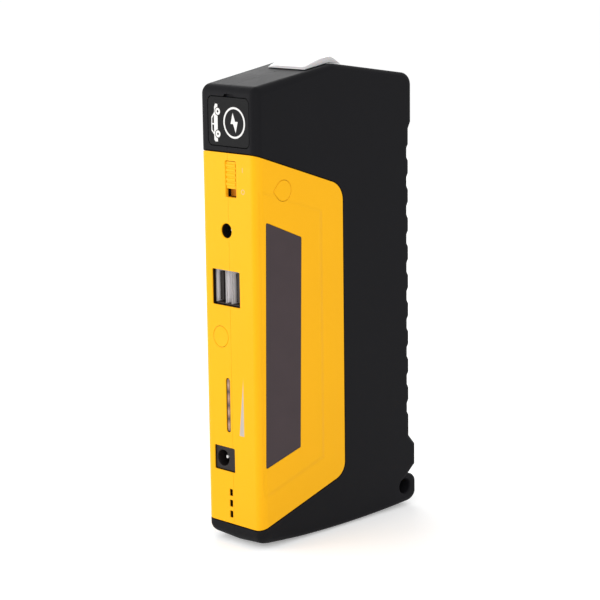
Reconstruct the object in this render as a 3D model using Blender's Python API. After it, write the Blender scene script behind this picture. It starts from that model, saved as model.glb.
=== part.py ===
"""Jump starter pack: a stand-up battery pack with its sockets on one narrow side and a torch on the roof.

Frame: +Z up, metres. X runs from the socket side (-X) to the ribbed grip side (+X), and Y goes through the
thickness, with the rating plate on the -Y face. The origin is on the foot, in the middle of the outline.
The case is two half shells that meet at y = 0, with a yellow panel let into each of them.
"""

import math

import bmesh
import bpy
from mathutils import Matrix, Vector

MM = 0.001

# Case
CASE_WIDTH = 83.0 * MM  # from the socket face to the crest of the grip
CASE_DEPTH = 30.4 * MM
WALL = 2.7 * MM
ROOF_WALL = 2.7 * MM
FLOOR_WALL = 3.4 * MM
CAVITY_EDGE = 0.6 * MM
CAVITY_CORNER = 1.5 * MM
GAP = 0.3 * MM  # between pieces that would touch
SHARP_CORNER = 0.4 * MM  # corner of a small moulded opening
WALL_OVERRUN = 1.2 * MM  # how far the openings' cutters pass the inside of the wall
ROOF_SLOPE = math.radians(8.8)
RIDGE_FROM_SOCKETS = 41.5 * MM
RIDGE_RADIUS = 9.0 * MM
ROOF_CORNER_SOCKETS = 2.7 * MM
ROOF_CORNER_GRIP = 5.0 * MM
FLOOR_CORNER_SOCKETS = 4.2 * MM
FLOOR_CORNER_GRIP = 5.0 * MM
EDGE_RADIUS = 2.2 * MM  # round the two wide faces
SOCKET_EDGE_RADIUS = 4.0 * MM  # the same edge along the socket face
EDGE_TAPER = 14.0 * MM  # run in which one becomes the other
LEAST_EDGE = 0.3 * MM
KEEL_RADIUS = 550.0 * MM  # the floor is a shallow arc along X
KEEL_SLOPE = 0.065  # and a shallow V across Y
FOOT_CUT = 0.45 * MM  # taken off its lowest line, which leaves the flat foot
KEEL_FACETS = 8

# Grip side, as steps out from the crest
GROOVE_DEPTH = 0.85 * MM
GROOVE_FLOOR = 3.0 * MM
GROOVE_FLANK = 1.5 * MM
GROOVE_PITCH = 11.37 * MM
GROOVE_FIRST_Z = 40.7 * MM
BLOCK_OUT = 1.35 * MM
BLOCK_HEIGHT = 19.0 * MM  # below the roof
BLOCK_CHAMFER = 2.6 * MM
BUMP_OUT = 3.5 * MM
BUMP_LOW_Z = 16.1 * MM
BUMP_HEIGHT = 9.2 * MM
BUMP_CHAMFER = 4.0 * MM
NOTCH_IN = 0.6 * MM
NOTCH_BELOW_BUMP = 3.0 * MM
BOSS_OUT = 3.65 * MM
BOSS_SHOULDER = 3.2 * MM
LANYARD_BORE = 6.0 * MM
LANYARD_INSET = 7.1 * MM
LANYARD_Z = 8.7 * MM
LANYARD_WALL = 2.2 * MM

# Socket face, from the foot to the roof: each feature's height and the distance to the next
FOOT_TO_PANEL = 7.6 * MM
PANEL_TO_SLOTS = 2.4 * MM
SLOT_HEIGHT = 2.7 * MM
SLOT_PITCH = 4.27 * MM
SLOT_COUNT = 3
SLOTS_TO_INLET = 6.9 * MM
INLET_WIDTH = 9.0 * MM
INLET_TO_LIGHTS = 6.2 * MM
LIGHTS_HEIGHT = 21.0 * MM
LIGHTS_TO_BUTTON = 11.6 * MM
BUTTON_RADIUS = 4.0 * MM
BUTTON_TO_USB = 8.3 * MM
USB_WIDTH = 13.1 * MM
USB_TO_OUTLET = 12.4 * MM
OUTLET_BORE = 5.5 * MM
OUTLET_TO_SWITCH = 10.0 * MM
SWITCH_SLOT_HEIGHT = 13.5 * MM
SWITCH_TO_PANEL_TOP = 2.9 * MM
PANEL_TO_COVER = 2.5 * MM
COVER_HEIGHT = 17.8 * MM
COVER_TO_ROOF = 4.0 * MM

# Socket face, across Y
SLOT_Y = 1.5 * MM
SLOT_WIDTH = 2.0 * MM
INLET_HEIGHT = 10.7 * MM
INLET_BORE = 6.2 * MM
INLET_BORE_Y = 6.0 * MM
LIGHTS_Y = 2.2 * MM
LIGHTS_WIDTH = 2.2 * MM
BUTTON_Y = 5.45 * MM
USB_Y = 2.15 * MM
USB_PORT_HEIGHT = 5.7 * MM
USB_WEB = 3.1 * MM
OUTLET_Y = 1.4 * MM
SWITCH_Y = -1.5 * MM
SWITCH_SLOT_WIDTH = 5.7 * MM
COVER_Y = -0.8 * MM
COVER_WIDTH = 21.6 * MM

# Pieces on the socket face
PORT_CLEARANCE = 0.2 * MM  # round a socket in its opening
COVER_THICKNESS = 2.4 * MM
COVER_CORNER = 2.0 * MM
NAIL_NOTCH_WIDTH = 6.2 * MM
NAIL_NOTCH_OFF = 0.45 * MM
NAIL_NOTCH_HEIGHT = 1.2 * MM
NAIL_NOTCH_DEPTH = 1.4 * MM
KNOB_HEIGHT = 9.5 * MM
KNOB_THICKNESS = 2.2 * MM
KNOB_RECESS = 0.2 * MM
KNOB_TOP_GAP = 0.8 * MM
KNOB_TRAVEL = 2.6 * MM
KNOB_RIDGES = 5
KNOB_RIDGE_HEIGHT = 0.3 * MM
STEM_HEIGHT = 2.4 * MM
STEM_WIDTH = 1.6 * MM
STEM_LENGTH = 2.4 * MM
SWITCH_BODY_DEPTH = 5.2 * MM
SWITCH_BODY_RIM = 0.9 * MM
BUTTON_TRAVEL = 0.7 * MM
BUTTON_FLANGE = 1.0 * MM
BUTTON_EDGE = 0.3 * MM
BUTTON_STEM_RADIUS = 1.6 * MM
BUTTON_STEM = 1.4 * MM
PLUNGER_REACH = 1.0 * MM  # out of the switch body
PLUNGER_SUNK = 1.5 * MM
TACT_WIDTH = 6.2 * MM
TACT_DEPTH = 3.6 * MM
INLET_RECESS = 0.6 * MM
INLET_LENGTH = 14.0 * MM
INLET_CORNER = 0.6 * MM
INLET_BORE_DEPTH = 9.5 * MM
JACK_PIN_RADIUS = 1.0 * MM
JACK_PIN_RECESS = 2.0 * MM
OUTLET_BODY = 8.0 * MM
OUTLET_LENGTH = 11.0 * MM
OUTLET_BORE_DEPTH = 9.0 * MM
USB_RECESS = 1.6 * MM
USB_LENGTH = 17.4 * MM
USB_SHELL_WALL = 0.4 * MM
USB_MOUTH_DEPTH = 10.0 * MM
USB_MOUTH_CORNER = 0.25 * MM
TONGUE_THICKNESS = 1.84 * MM
TONGUE_LENGTH = 8.4 * MM
TONGUE_SIDE_GAP = 0.7 * MM
LIGHT_COUNT = 4
LIGHT_SIZE = 1.6 * MM
LIGHTS_CORNER_SHARE = 0.48
WINDOW_RECESS = 0.3 * MM

# Panels, plate and cap
PANEL_THICKNESS = 1.4 * MM
PANEL_REACH = 45.15 * MM  # from the socket face
PANEL_TOP_SLOPE = math.radians(18.8)
PANEL_BOTTOM_SLOPE = math.radians(17.2)
PANEL_TOP_RADIUS = 8.0 * MM
PANEL_BOTTOM_RADIUS = 6.5 * MM
PLATE_INSET = 4.7 * MM
PLATE_WIDTH = 18.0 * MM
PLATE_THICKNESS = 0.35 * MM
PLATE_BELOW_PANEL_TOP = 24.8 * MM
PLATE_ABOVE_PANEL_BOTTOM = 23.9 * MM
PLATE_TOP_SLOPE = math.radians(22.7)
PLATE_BOTTOM_SLOPE = math.radians(15.6)
PLATE_LEAN = math.radians(1.1)  # its foot is nearer to the socket face than its top
PLATE_CORNER = 0.5 * MM
CAP_FROM_SOCKETS = 13.8 * MM
CAP_BELOW_PANEL_TOP = 14.1 * MM
CAP_RADIUS = 3.9 * MM
CAP_TIP = 5.2 * MM

# Torch on the roof
LENS_LEFT = 29.0 * MM  # from the socket face
LENS_LENGTH = 18.6 * MM
LENS_WIDTH = 23.2 * MM
LENS_EDGE = 0.8 * MM
LENS_CREST = 2.1 * MM
LENS_SLANT = 2.0 * MM  # length of each of the two facets at the far end
LENS_DROP = 0.5 * MM
LENS_STEP = 0.4 * MM  # the rounded edge along both sides
LENS_SHOULDER = 1.4 * MM
TORCH_POST_OFF = 0.6 * MM
TORCH_POST_WIDTH = 1.4 * MM
TORCH_ROOM = 2.0 * MM  # from the torch board up to the opening
LENS_WALL = 1.2 * MM
LENS_LIP = 1.9 * MM  # rests on the roof round the torch opening
TORCH_BOARD_THICKNESS = 1.2 * MM
TORCH_BOARD_MARGIN = 1.9 * MM
TORCH_BOARD_DROP = 5.0 * MM  # from the roof at the lens's low end
TORCH_LED_SIZE = 3.5 * MM
TORCH_LED_HEIGHT = 1.4 * MM
TORCH_LED_PITCH = 6.0 * MM
TORCH_LED_COUNT = 3

# Screws and what holds them
SCREW_RADIUS = 1.2 * MM
SCREW_HEAD_RADIUS = 2.2 * MM
SCREW_HEAD = 1.6 * MM
SCREW_GRIP = 8.0 * MM  # length held in the far half
SCREW_SINK = 3.0 * MM  # from the outside to the head
PILLAR_RADIUS = 3.7 * MM
PILLAR_SKIN = 1.2 * MM  # what is left between a pillar's end and the panel
FRONT_SCREW_INSET = 18.3 * MM
BACK_SCREW_LOW = (25.5 * MM, 12.0 * MM)
BACK_SCREW_INSET = 10.0 * MM
BACK_SCREW_DROP = 16.0 * MM
PLATE_SCREW_MARGIN = 9.0 * MM
SCREW_ROOM = 4.0 * MM
BOARD_POST_RADIUS = 2.5 * MM
BOARD_SCREW_HEIGHT = 14.0 * MM
BOARD_SCREW_ROOM = 8.0 * MM
BOARD_SCREW_LENGTH = 7.0 * MM

# Control board and what it carries
BOARD_THICKNESS = 1.6 * MM
BOARD_WIDTH = 24.0 * MM
BOARD_TOP_Y = -1.0 * MM
BOARD_MARGIN = 1.5 * MM
SOUNDER_RADIUS = 6.0 * MM
SOUNDER_HEIGHT = 8.0 * MM
COIL_RADIUS = 6.5 * MM
COIL_HEIGHT = 7.0 * MM
COIL_ABOVE_LIGHTS = 8.0 * MM
RELAY_SIZE = (14.0 * MM, 9.0 * MM, 15.0 * MM)
RELAY_ASIDE = 3.0 * MM
PART_MARGIN = 2.0 * MM
CAPACITOR_RADIUS = 4.0 * MM
CAPACITOR_LENGTH = 14.0 * MM

# Cells
CELL_COUNT = 3
CELL_TO_BOARD = 2.5 * MM
CELL_BOTTOM_Z = 17.5 * MM
CELL_ROUND = 1.5 * MM
CELL_BELOW_PANEL_TOP = 3.7 * MM
PAD_THICKNESS = 1.0 * MM
PAD_MARGIN = 8.0 * MM
TAB_WIDTH = 8.0 * MM
TAB_THICKNESS = 0.6 * MM
TAB_HEIGHT = 5.0 * MM
TAB_INSET = 6.0 * MM
TAB_SPACING = 21.0 * MM
LINK_THICKNESS = 0.8 * MM

# Engine socket and leads
SOCKET_FLANGE = 2.0 * MM
SOCKET_FLANGE_LAP = 0.6 * MM
SOCKET_LENGTH = 18.0 * MM
SOCKET_BODY_WIDTH = 19.0 * MM
SOCKET_BODY_HEIGHT = 12.0 * MM
SOCKET_MOUTH_WIDTH = 16.5 * MM
SOCKET_MOUTH_HEIGHT = 8.5 * MM
SOCKET_MOUTH_DEPTH = 5.5 * MM
CONTACT_RADIUS = 3.0 * MM
CONTACT_BORE = 2.4 * MM
CONTACT_SPACING = 10.0 * MM
CONTACT_TAIL = 2.0 * MM
LEAD_RADIUS = 2.1 * MM
WIRE_RADIUS = 0.8 * MM

# Worked out from the sizes above
SOCKET_X = -(CASE_WIDTH + BOSS_OUT) / 2
GRIP_X = SOCKET_X + CASE_WIDTH
RIDGE_X = SOCKET_X + RIDGE_FROM_SOCKETS
INNER_X = SOCKET_X + WALL
HALF_DEPTH = CASE_DEPTH / 2
INNER_Y = HALF_DEPTH - WALL
PANEL_LOW_Z = FOOT_TO_PANEL
SLOTS_Z = PANEL_LOW_Z + PANEL_TO_SLOTS
INLET_Z = SLOTS_Z + (SLOT_COUNT - 1) * SLOT_PITCH + SLOT_HEIGHT + SLOTS_TO_INLET + INLET_WIDTH / 2
LIGHTS_Z = INLET_Z + INLET_WIDTH / 2 + INLET_TO_LIGHTS + LIGHTS_HEIGHT / 2
BUTTON_Z = LIGHTS_Z + LIGHTS_HEIGHT / 2 + LIGHTS_TO_BUTTON + BUTTON_RADIUS
USB_Z = BUTTON_Z + BUTTON_RADIUS + BUTTON_TO_USB + USB_WIDTH / 2
OUTLET_Z = USB_Z + USB_WIDTH / 2 + USB_TO_OUTLET + OUTLET_BORE / 2
SWITCH_Z = OUTLET_Z + OUTLET_BORE / 2 + OUTLET_TO_SWITCH + SWITCH_SLOT_HEIGHT / 2
PANEL_TOP_Z = SWITCH_Z + SWITCH_SLOT_HEIGHT / 2 + SWITCH_TO_PANEL_TOP
COVER_Z = PANEL_TOP_Z + PANEL_TO_COVER + COVER_HEIGHT / 2
ROOF_LOW_Z = COVER_Z + COVER_HEIGHT / 2 + COVER_TO_ROOF
RIDGE_Z = ROOF_LOW_Z + math.tan(ROOF_SLOPE) * RIDGE_FROM_SOCKETS
USB_STACK = 2 * USB_PORT_HEIGHT + USB_WEB
BOARD_LEFT = INNER_X + 2 * GAP
BOARD_RIGHT = BOARD_LEFT + BOARD_WIDTH
BOARD_LOW_Z = FLOOR_WALL + BOARD_MARGIN
BOARD_HIGH_Z = SWITCH_Z + SWITCH_SLOT_HEIGHT / 2 + BOARD_MARGIN
BOARD_BACK_Y = BOARD_TOP_Y - BOARD_THICKNESS
CELL_LEFT = BOARD_RIGHT + CELL_TO_BOARD
CELL_RIGHT = GRIP_X - GROOVE_DEPTH - WALL - 2 * GAP
CELL_TOP_Z = PANEL_TOP_Z - CELL_BELOW_PANEL_TOP
CELL_STEP = (2 * (INNER_Y - PAD_THICKNESS - GAP) - GAP) / CELL_COUNT
CELL_THICKNESS = CELL_STEP - GAP
TAB_TOP_Z = CELL_TOP_Z + TAB_HEIGHT
TAB_XS = (CELL_LEFT + TAB_INSET + TAB_WIDTH / 2, CELL_LEFT + TAB_INSET + TAB_WIDTH / 2 + TAB_SPACING)
LENS_X = SOCKET_X + LENS_LEFT
KNOB_TOP_Z = SWITCH_Z + SWITCH_SLOT_HEIGHT / 2 - KNOB_TOP_GAP
KNOB_Z = KNOB_TOP_Z - KNOB_HEIGHT / 2
PLATE_TOP_Z = PANEL_TOP_Z - PLATE_BELOW_PANEL_TOP
PLATE_LOW_Z = PANEL_LOW_Z + PLATE_ABOVE_PANEL_BOTTOM
CAP_X = SOCKET_X + CAP_FROM_SOCKETS
CAP_Z = PANEL_TOP_Z - CAP_BELOW_PANEL_TOP
BEYOND = 6.0 * MM  # how far a cutter runs past what it cuts

# Finishes: colour, roughness, metallic
BLACK_PLASTIC = ((0.016, 0.016, 0.018), 0.6, 0.0)
YELLOW_PLASTIC = ((0.93, 0.47, 0.012), 0.45, 0.0)
PLATE_PRINT = ((0.055, 0.045, 0.048), 0.4, 0.0)
BLACK_RUBBER = ((0.02, 0.02, 0.021), 0.7, 0.0)
BRIGHT_STEEL = ((0.75, 0.75, 0.76), 0.25, 1.0)
BRASS = ((0.75, 0.55, 0.22), 0.3, 1.0)
NICKEL = ((0.7, 0.69, 0.66), 0.3, 1.0)
GREEN_BOARD = ((0.01, 0.11, 0.035), 0.5, 0.0)
WHITE_BOARD = ((0.75, 0.75, 0.73), 0.5, 0.0)
AMBER = ((0.35, 0.12, 0.02), 0.2, 0.0)
FROSTED = ((0.9, 0.9, 0.89), 0.35, 0.0)
LED_YELLOW = ((0.9, 0.75, 0.2), 0.3, 0.0)
CELL_FOIL = ((0.62, 0.63, 0.65), 0.35, 0.9)
FOAM = ((0.05, 0.05, 0.055), 0.95, 0.0)
BLUE_PLASTIC = ((0.02, 0.07, 0.35), 0.45, 0.0)
RED_RUBBER = ((0.5, 0.02, 0.015), 0.55, 0.0)
GREY_PLASTIC = ((0.1, 0.1, 0.105), 0.5, 0.0)
WHITE_PLASTIC = ((0.8, 0.8, 0.78), 0.5, 0.0)
ALUMINIUM = ((0.7, 0.7, 0.72), 0.35, 1.0)


def clear_scene():
    for thing in list(bpy.data.objects):
        bpy.data.objects.remove(thing, do_unlink=True)


def material(name, colour, roughness, metallic):
    made = bpy.data.materials.new(name)
    made.use_nodes = True
    surface = next(node for node in made.node_tree.nodes if node.type == "BSDF_PRINCIPLED")
    surface.inputs["Base Color"].default_value = (*colour, 1.0)
    surface.inputs["Roughness"].default_value = roughness
    surface.inputs["Metallic"].default_value = metallic
    return made


def build(name, skins, finish, origin=(0.0, 0.0, 0.0)):
    """One object from a list of closed skins, each a pair of points and faces. Without a finish it is a cutter."""
    shape = bmesh.new()
    for points, faces in skins:
        made = [shape.verts.new(point) for point in points]
        for face in faces:
            shape.faces.new([made[index] for index in face])
    bmesh.ops.recalc_face_normals(shape, faces=shape.faces)
    mesh = bpy.data.meshes.new(name)
    shape.to_mesh(mesh)
    shape.free()
    mesh.transform(Matrix.Translation(-Vector(origin)))
    mesh.shade_smooth()
    mesh.set_sharp_from_angle(angle=math.radians(30))
    made = bpy.data.objects.new(name, mesh)
    made.location = origin
    bpy.context.scene.collection.objects.link(made)
    if finish:
        mesh.materials.append(material(name, *finish))
    else:
        made.hide_render = True
        made.display_type = "WIRE"
    return made


def combine(target, tool, operation):
    """Leaves a Boolean on the target: DIFFERENCE, UNION or INTERSECT with the tool."""
    boolean = target.modifiers.new(f"{operation.lower()}_{tool.name}", "BOOLEAN")
    boolean.operation = operation
    boolean.solver = "EXACT"
    boolean.object = tool


def loft(rings):
    """Closed skin through rings of equally many points, with a face across each end."""
    count = len(rings[0])
    points = [point for ring in rings for point in ring]
    faces = [tuple(range(count)), tuple(range(len(points) - count, len(points)))]
    for row in range(len(rings) - 1):
        for index in range(count):
            after = (index + 1) % count
            low = row * count
            faces.append((low + index, low + after, low + count + after, low + count + index))
    return points, faces


def placed(axis, along, across, up):
    """A point from its place along an axis and its two other coordinates, in the order X, Y, Z."""
    return {
        "x": (along, across, up),
        "y": (across, along, up),
        "z": (across, up, along),
    }[axis]


def prism(outline, axis, low, high):
    return loft([[placed(axis, along, spot[0], spot[1]) for spot in outline] for along in (low, high)])


def box(xs, ys, zs):
    return prism([(xs[0], ys[0]), (xs[1], ys[0]), (xs[1], ys[1]), (xs[0], ys[1])], "z", *zs)


def turned(axis, centre, profile, sides=20):
    """Round skin about an axis from (place along it, radius) pairs."""
    turns = [2 * math.pi * index / sides for index in range(sides)]
    return loft([
        [
            placed(axis, along, centre[0] + radius * math.cos(turn), centre[1] + radius * math.sin(turn))
            for turn in turns
        ]
        for along, radius in profile
    ])


def rod(axis, centre, radius, low, high, sides=20):
    return turned(axis, centre, [(low, radius), (high, radius)], sides)


def mitres(outline):
    """For each spot of a closed anticlockwise outline, the step that moves both its sides out by one."""
    steps = []
    for index, spot in enumerate(outline):
        here = Vector(spot[:2])
        arriving = (here - Vector(outline[index - 1][:2])).normalized()
        leaving = (Vector(outline[(index + 1) % len(outline)][:2]) - here).normalized()
        first = Vector((arriving.y, -arriving.x))
        second = Vector((leaving.y, -leaving.x))
        steps.append((first + second) / (1 + first.dot(second)))
    return steps


def shrunk(corners, inset):
    """Corners (u, v, radius, ...) with every side moved in, and the round ones' radii reduced to match."""
    return [
        (
            corner[0] - inset * step.x,
            corner[1] - inset * step.y,
            max(corner[2] - inset, 0.0),
            *corner[3:],
        )
        for corner, step in zip(corners, mitres(corners))
    ]


def rounded(corners, steps=4):
    """Outline through corners (u, v, radius, ...), with an arc at each one that has a radius."""
    outline = []
    for index, (u, v, radius, *rest) in enumerate(corners):
        here = Vector((u, v))
        before = (Vector(corners[index - 1][:2]) - here).normalized()
        after = (Vector(corners[(index + 1) % len(corners)][:2]) - here).normalized()
        half = before.angle(after) / 2
        if radius <= 0 or half > math.radians(89.5):
            outline.append((u, v, *rest))
            continue
        centre = here + (before + after).normalized() * (radius / math.sin(half))
        start = here + before * (radius / math.tan(half)) - centre
        end = here + after * (radius / math.tan(half)) - centre
        first = math.atan2(start.y, start.x)
        sweep = math.remainder(math.atan2(end.y, end.x) - first, 2 * math.pi)
        for step in range(steps + 1):
            turn = first + sweep * step / steps
            outline.append((centre.x + radius * math.cos(turn), centre.y + radius * math.sin(turn), *rest))
    return outline


def rectangle(u, v, width, height, radius, steps=3):
    """Outline of a round-cornered rectangle about its middle."""
    signs = [(-1, -1), (1, -1), (1, 1), (-1, 1)]
    return rounded([(u + width / 2 * a, v + height / 2 * b, radius) for a, b in signs], steps)


def roof_z(x):
    return RIDGE_Z - math.tan(ROOF_SLOPE) * abs(x - RIDGE_X)


def keel_z(x):
    return x * x / (2 * KEEL_RADIUS) - FOOT_CUT


def case_corners(grooved):
    """Corners round the case in X and Z: x, z, radius in that plane, radius of the edge to the wide faces."""
    edge = EDGE_RADIUS
    block_x = GRIP_X + BLOCK_OUT
    bump_x = GRIP_X + BUMP_OUT
    boss_x = GRIP_X + BOSS_OUT
    block_z = roof_z(block_x) - BLOCK_HEIGHT
    notch_z = BUMP_LOW_Z - NOTCH_BELOW_BUMP
    corners = [(SOCKET_X, keel_z(SOCKET_X), FLOOR_CORNER_SOCKETS, edge)]
    for step in range(1, KEEL_FACETS):
        x = SOCKET_X + (boss_x - SOCKET_X) * step / KEEL_FACETS
        corners.append((x, keel_z(x), 0.0, edge))
    corners += [
        (boss_x, keel_z(boss_x), FLOOR_CORNER_GRIP, edge),
        (boss_x, notch_z - NOTCH_IN, BOSS_SHOULDER, edge),
        (GRIP_X - NOTCH_IN, notch_z, 0.0, edge),
        (bump_x, BUMP_LOW_Z, 0.0, edge),
        (bump_x, BUMP_LOW_Z + BUMP_HEIGHT, 0.0, edge),
        (GRIP_X, BUMP_LOW_Z + BUMP_HEIGHT + BUMP_CHAMFER, 0.0, edge),
    ]
    if grooved:
        centre = GROOVE_FIRST_Z
        while centre + GROOVE_PITCH / 2 < block_z - BLOCK_CHAMFER:
            for out, offset in ((0, -1), (1, -1), (1, 1), (0, 1)):
                reach = GROOVE_FLOOR / 2 + (1 - out) * GROOVE_FLANK
                corners.append((GRIP_X - out * GROOVE_DEPTH, centre + offset * reach, 0.0, edge))
            centre += GROOVE_PITCH
    corners += [
        (GRIP_X, block_z - BLOCK_CHAMFER, 0.0, edge),
        (block_x, block_z, 0.0, edge),
        (block_x, roof_z(block_x), ROOF_CORNER_GRIP, edge),
        (RIDGE_X, RIDGE_Z, RIDGE_RADIUS, edge),
        (SOCKET_X, ROOF_LOW_Z, ROOF_CORNER_SOCKETS, edge),
        (SOCKET_X, ROOF_LOW_Z - EDGE_TAPER, 0.0, SOCKET_EDGE_RADIUS),
        (SOCKET_X, keel_z(SOCKET_X) + EDGE_TAPER, 0.0, SOCKET_EDGE_RADIUS),
    ]
    return corners


def cavity_corners():
    """Corners of the room inside the shells. It leaves a solid corner round the lanyard hole."""
    right = GRIP_X - GROOVE_DEPTH - WALL
    boss_left = GRIP_X + BOSS_OUT - LANYARD_INSET - LANYARD_BORE / 2 - LANYARD_WALL
    boss_top = LANYARD_Z + LANYARD_BORE / 2 + LANYARD_WALL
    return [
        (INNER_X, FLOOR_WALL, CAVITY_CORNER, CAVITY_EDGE),
        (boss_left, FLOOR_WALL, CAVITY_CORNER, CAVITY_EDGE),
        (boss_left, boss_top, 0.0, CAVITY_EDGE),
        (right, boss_top, CAVITY_CORNER, CAVITY_EDGE),
        (right, roof_z(right) - ROOF_WALL, 2 * CAVITY_CORNER, CAVITY_EDGE),
        (RIDGE_X, RIDGE_Z - ROOF_WALL, 0.0, CAVITY_EDGE),
        (INNER_X, roof_z(INNER_X) - ROOF_WALL, CAVITY_CORNER, CAVITY_EDGE),
    ]


def slab(corners, half_depth, keel_slope=0.0, edge_steps=4):
    """A skin with the corners' outline, a rounded edge to each wide face, and a floor that rises to both sides."""
    outline = rounded(corners)
    steps = mitres(outline)
    rings = []
    turns = [math.pi / 2 * index / edge_steps for index in range(edge_steps + 1)]
    stages = [(-1, turn) for turn in reversed(turns)] + [(0, 0.0)] + [(1, turn) for turn in turns]
    for side, turn in stages:
        ring = []
        for (x, z, edge), step in zip(outline, steps):
            y = side * (half_depth - edge * (1 - math.sin(turn)))
            inset = edge * (1 - math.cos(turn)) if side else 0.0
            lift = keel_slope * abs(y) * min(max(-step.y, 0.0), 1.0)
            ring.append((x - inset * step.x, y, z - inset * step.y + lift))
        rings.append(ring)
    return loft(rings)


def case_slab(inset, grooved):
    """The case's outer shape, with all its faces moved in by the inset."""
    corners = [
        (x, z, radius, max(edge - inset, LEAST_EDGE))
        for x, z, radius, edge in shrunk(case_corners(grooved), inset)
    ]
    return slab(corners, HALF_DEPTH - inset, KEEL_SLOPE)


def panel_outline(grow):
    """Where the yellow panel lies, seen from the wide side, with its sides moved out by grow."""
    right = SOCKET_X + PANEL_REACH
    far = SOCKET_X - BEYOND
    top = PANEL_TOP_Z - math.tan(PANEL_TOP_SLOPE) * PANEL_REACH
    low = PANEL_LOW_Z + math.tan(PANEL_BOTTOM_SLOPE) * PANEL_REACH
    corners = [
        (far, PANEL_LOW_Z, 0.0),
        (SOCKET_X, PANEL_LOW_Z, 0.0),
        (right, low, PANEL_BOTTOM_RADIUS),
        (right, top, PANEL_TOP_RADIUS),
        (SOCKET_X, PANEL_TOP_Z, 0.0),
        (far, PANEL_TOP_Z, 0.0),
    ]
    return rounded([
        (u, v, radius + grow if radius else 0.0)
        for (u, v, _), (_, _, radius) in zip(shrunk(corners, -grow), corners)
    ])


def plate_outline(grow):
    """The rating plate, which leans a little and has sloping ends."""
    top_left = SOCKET_X + PLATE_INSET
    low_left = top_left - math.tan(PLATE_LEAN) * (PLATE_TOP_Z - PLATE_LOW_Z)
    corners = [
        (low_left, PLATE_LOW_Z, PLATE_CORNER),
        (low_left + PLATE_WIDTH, PLATE_LOW_Z + math.tan(PLATE_BOTTOM_SLOPE) * PLATE_WIDTH, PLATE_CORNER),
        (top_left + PLATE_WIDTH, PLATE_TOP_Z - math.tan(PLATE_TOP_SLOPE) * PLATE_WIDTH, PLATE_CORNER),
        (top_left, PLATE_TOP_Z, PLATE_CORNER),
    ]
    return rounded(shrunk(corners, -grow))


def cap_outline(grow):
    """A drop: a circle drawn out to a point towards the socket face."""
    radius = CAP_RADIUS + grow
    tip = CAP_TIP + grow
    lean = math.acos(radius / tip)
    sides = 20
    outline = [(CAP_X - tip, CAP_Z)]
    for step in range(sides + 1):
        turn = -math.pi + lean + (2 * math.pi - 2 * lean) * step / sides
        outline.append((CAP_X + radius * math.cos(turn), CAP_Z + radius * math.sin(turn)))
    return outline


def cover_outline(grow):
    return rectangle(COVER_Y, COVER_Z, COVER_WIDTH + 2 * grow, COVER_HEIGHT + 2 * grow, COVER_CORNER + grow)


def opening_skins():
    """What is cut through the socket wall for the sockets, the button, the switch and the lights."""
    near = SOCKET_X - BEYOND
    far = INNER_X + WALL_OVERRUN
    room = 2 * PORT_CLEARANCE
    inlet_y = BOARD_TOP_Y + GAP + INLET_HEIGHT / 2
    outlines = [
        rectangle(SLOT_Y, SLOTS_Z + SLOT_HEIGHT / 2 + step * SLOT_PITCH, SLOT_WIDTH, SLOT_HEIGHT, SHARP_CORNER)
        for step in range(SLOT_COUNT)
    ]
    outlines += [
        rectangle(
            inlet_y, INLET_Z, INLET_HEIGHT + room, INLET_WIDTH + room, INLET_CORNER + PORT_CLEARANCE,
        ),
        rectangle(LIGHTS_Y, LIGHTS_Z, LIGHTS_WIDTH, LIGHTS_HEIGHT, LIGHTS_WIDTH * LIGHTS_CORNER_SHARE),
        rectangle(USB_Y, USB_Z, USB_STACK + room, USB_WIDTH + room, SHARP_CORNER),
        rectangle(SWITCH_Y, SWITCH_Z, SWITCH_SLOT_WIDTH, SWITCH_SLOT_HEIGHT, SHARP_CORNER),
        cover_outline(GAP),
    ]
    skins = [prism(outline, "x", near, far) for outline in outlines]
    skins.append(rod("x", (BUTTON_Y, BUTTON_Z), BUTTON_RADIUS + GAP, near, far, 32))
    skins.append(rod("x", (OUTLET_Y, OUTLET_Z), OUTLET_BORE / 2, near, far, 24))
    return skins


def nail_notch():
    """A shallow nick above the cover, for a fingernail."""
    base = COVER_Z + COVER_HEIGHT / 2 - GAP
    top = base + GAP + NAIL_NOTCH_HEIGHT
    outline = [
        (COVER_Y - NAIL_NOTCH_OFF - NAIL_NOTCH_WIDTH / 2, base),
        (COVER_Y - NAIL_NOTCH_OFF + NAIL_NOTCH_WIDTH / 2, base),
        (COVER_Y - NAIL_NOTCH_OFF + NAIL_NOTCH_WIDTH / 3, top),
        (COVER_Y - NAIL_NOTCH_OFF - NAIL_NOTCH_WIDTH / 3, top),
    ]
    return prism(outline, "x", SOCKET_X - BEYOND, SOCKET_X + NAIL_NOTCH_DEPTH)


def screw_sites():
    """Each case screw's x, z and the side it enters from: -1 is the plate's side, +1 the other."""
    column = SOCKET_X + FRONT_SCREW_INSET
    corner = GRIP_X - BACK_SCREW_INSET
    return [
        (CAP_X, CAP_Z, -1),
        (column, PLATE_TOP_Z - PLATE_SCREW_MARGIN - SCREW_ROOM, -1),
        (column, PLATE_LOW_Z + PLATE_SCREW_MARGIN + SCREW_ROOM, -1),
        (*BACK_SCREW_LOW, 1),
        (corner, roof_z(corner) - BACK_SCREW_DROP, 1),
    ]


def board_screw_sites():
    x = BOARD_RIGHT - BOARD_POST_RADIUS - MM
    return [(x, BOARD_LOW_Z + BOARD_SCREW_HEIGHT), (x, BUTTON_Z + BUTTON_RADIUS + BOARD_SCREW_ROOM)]


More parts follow.
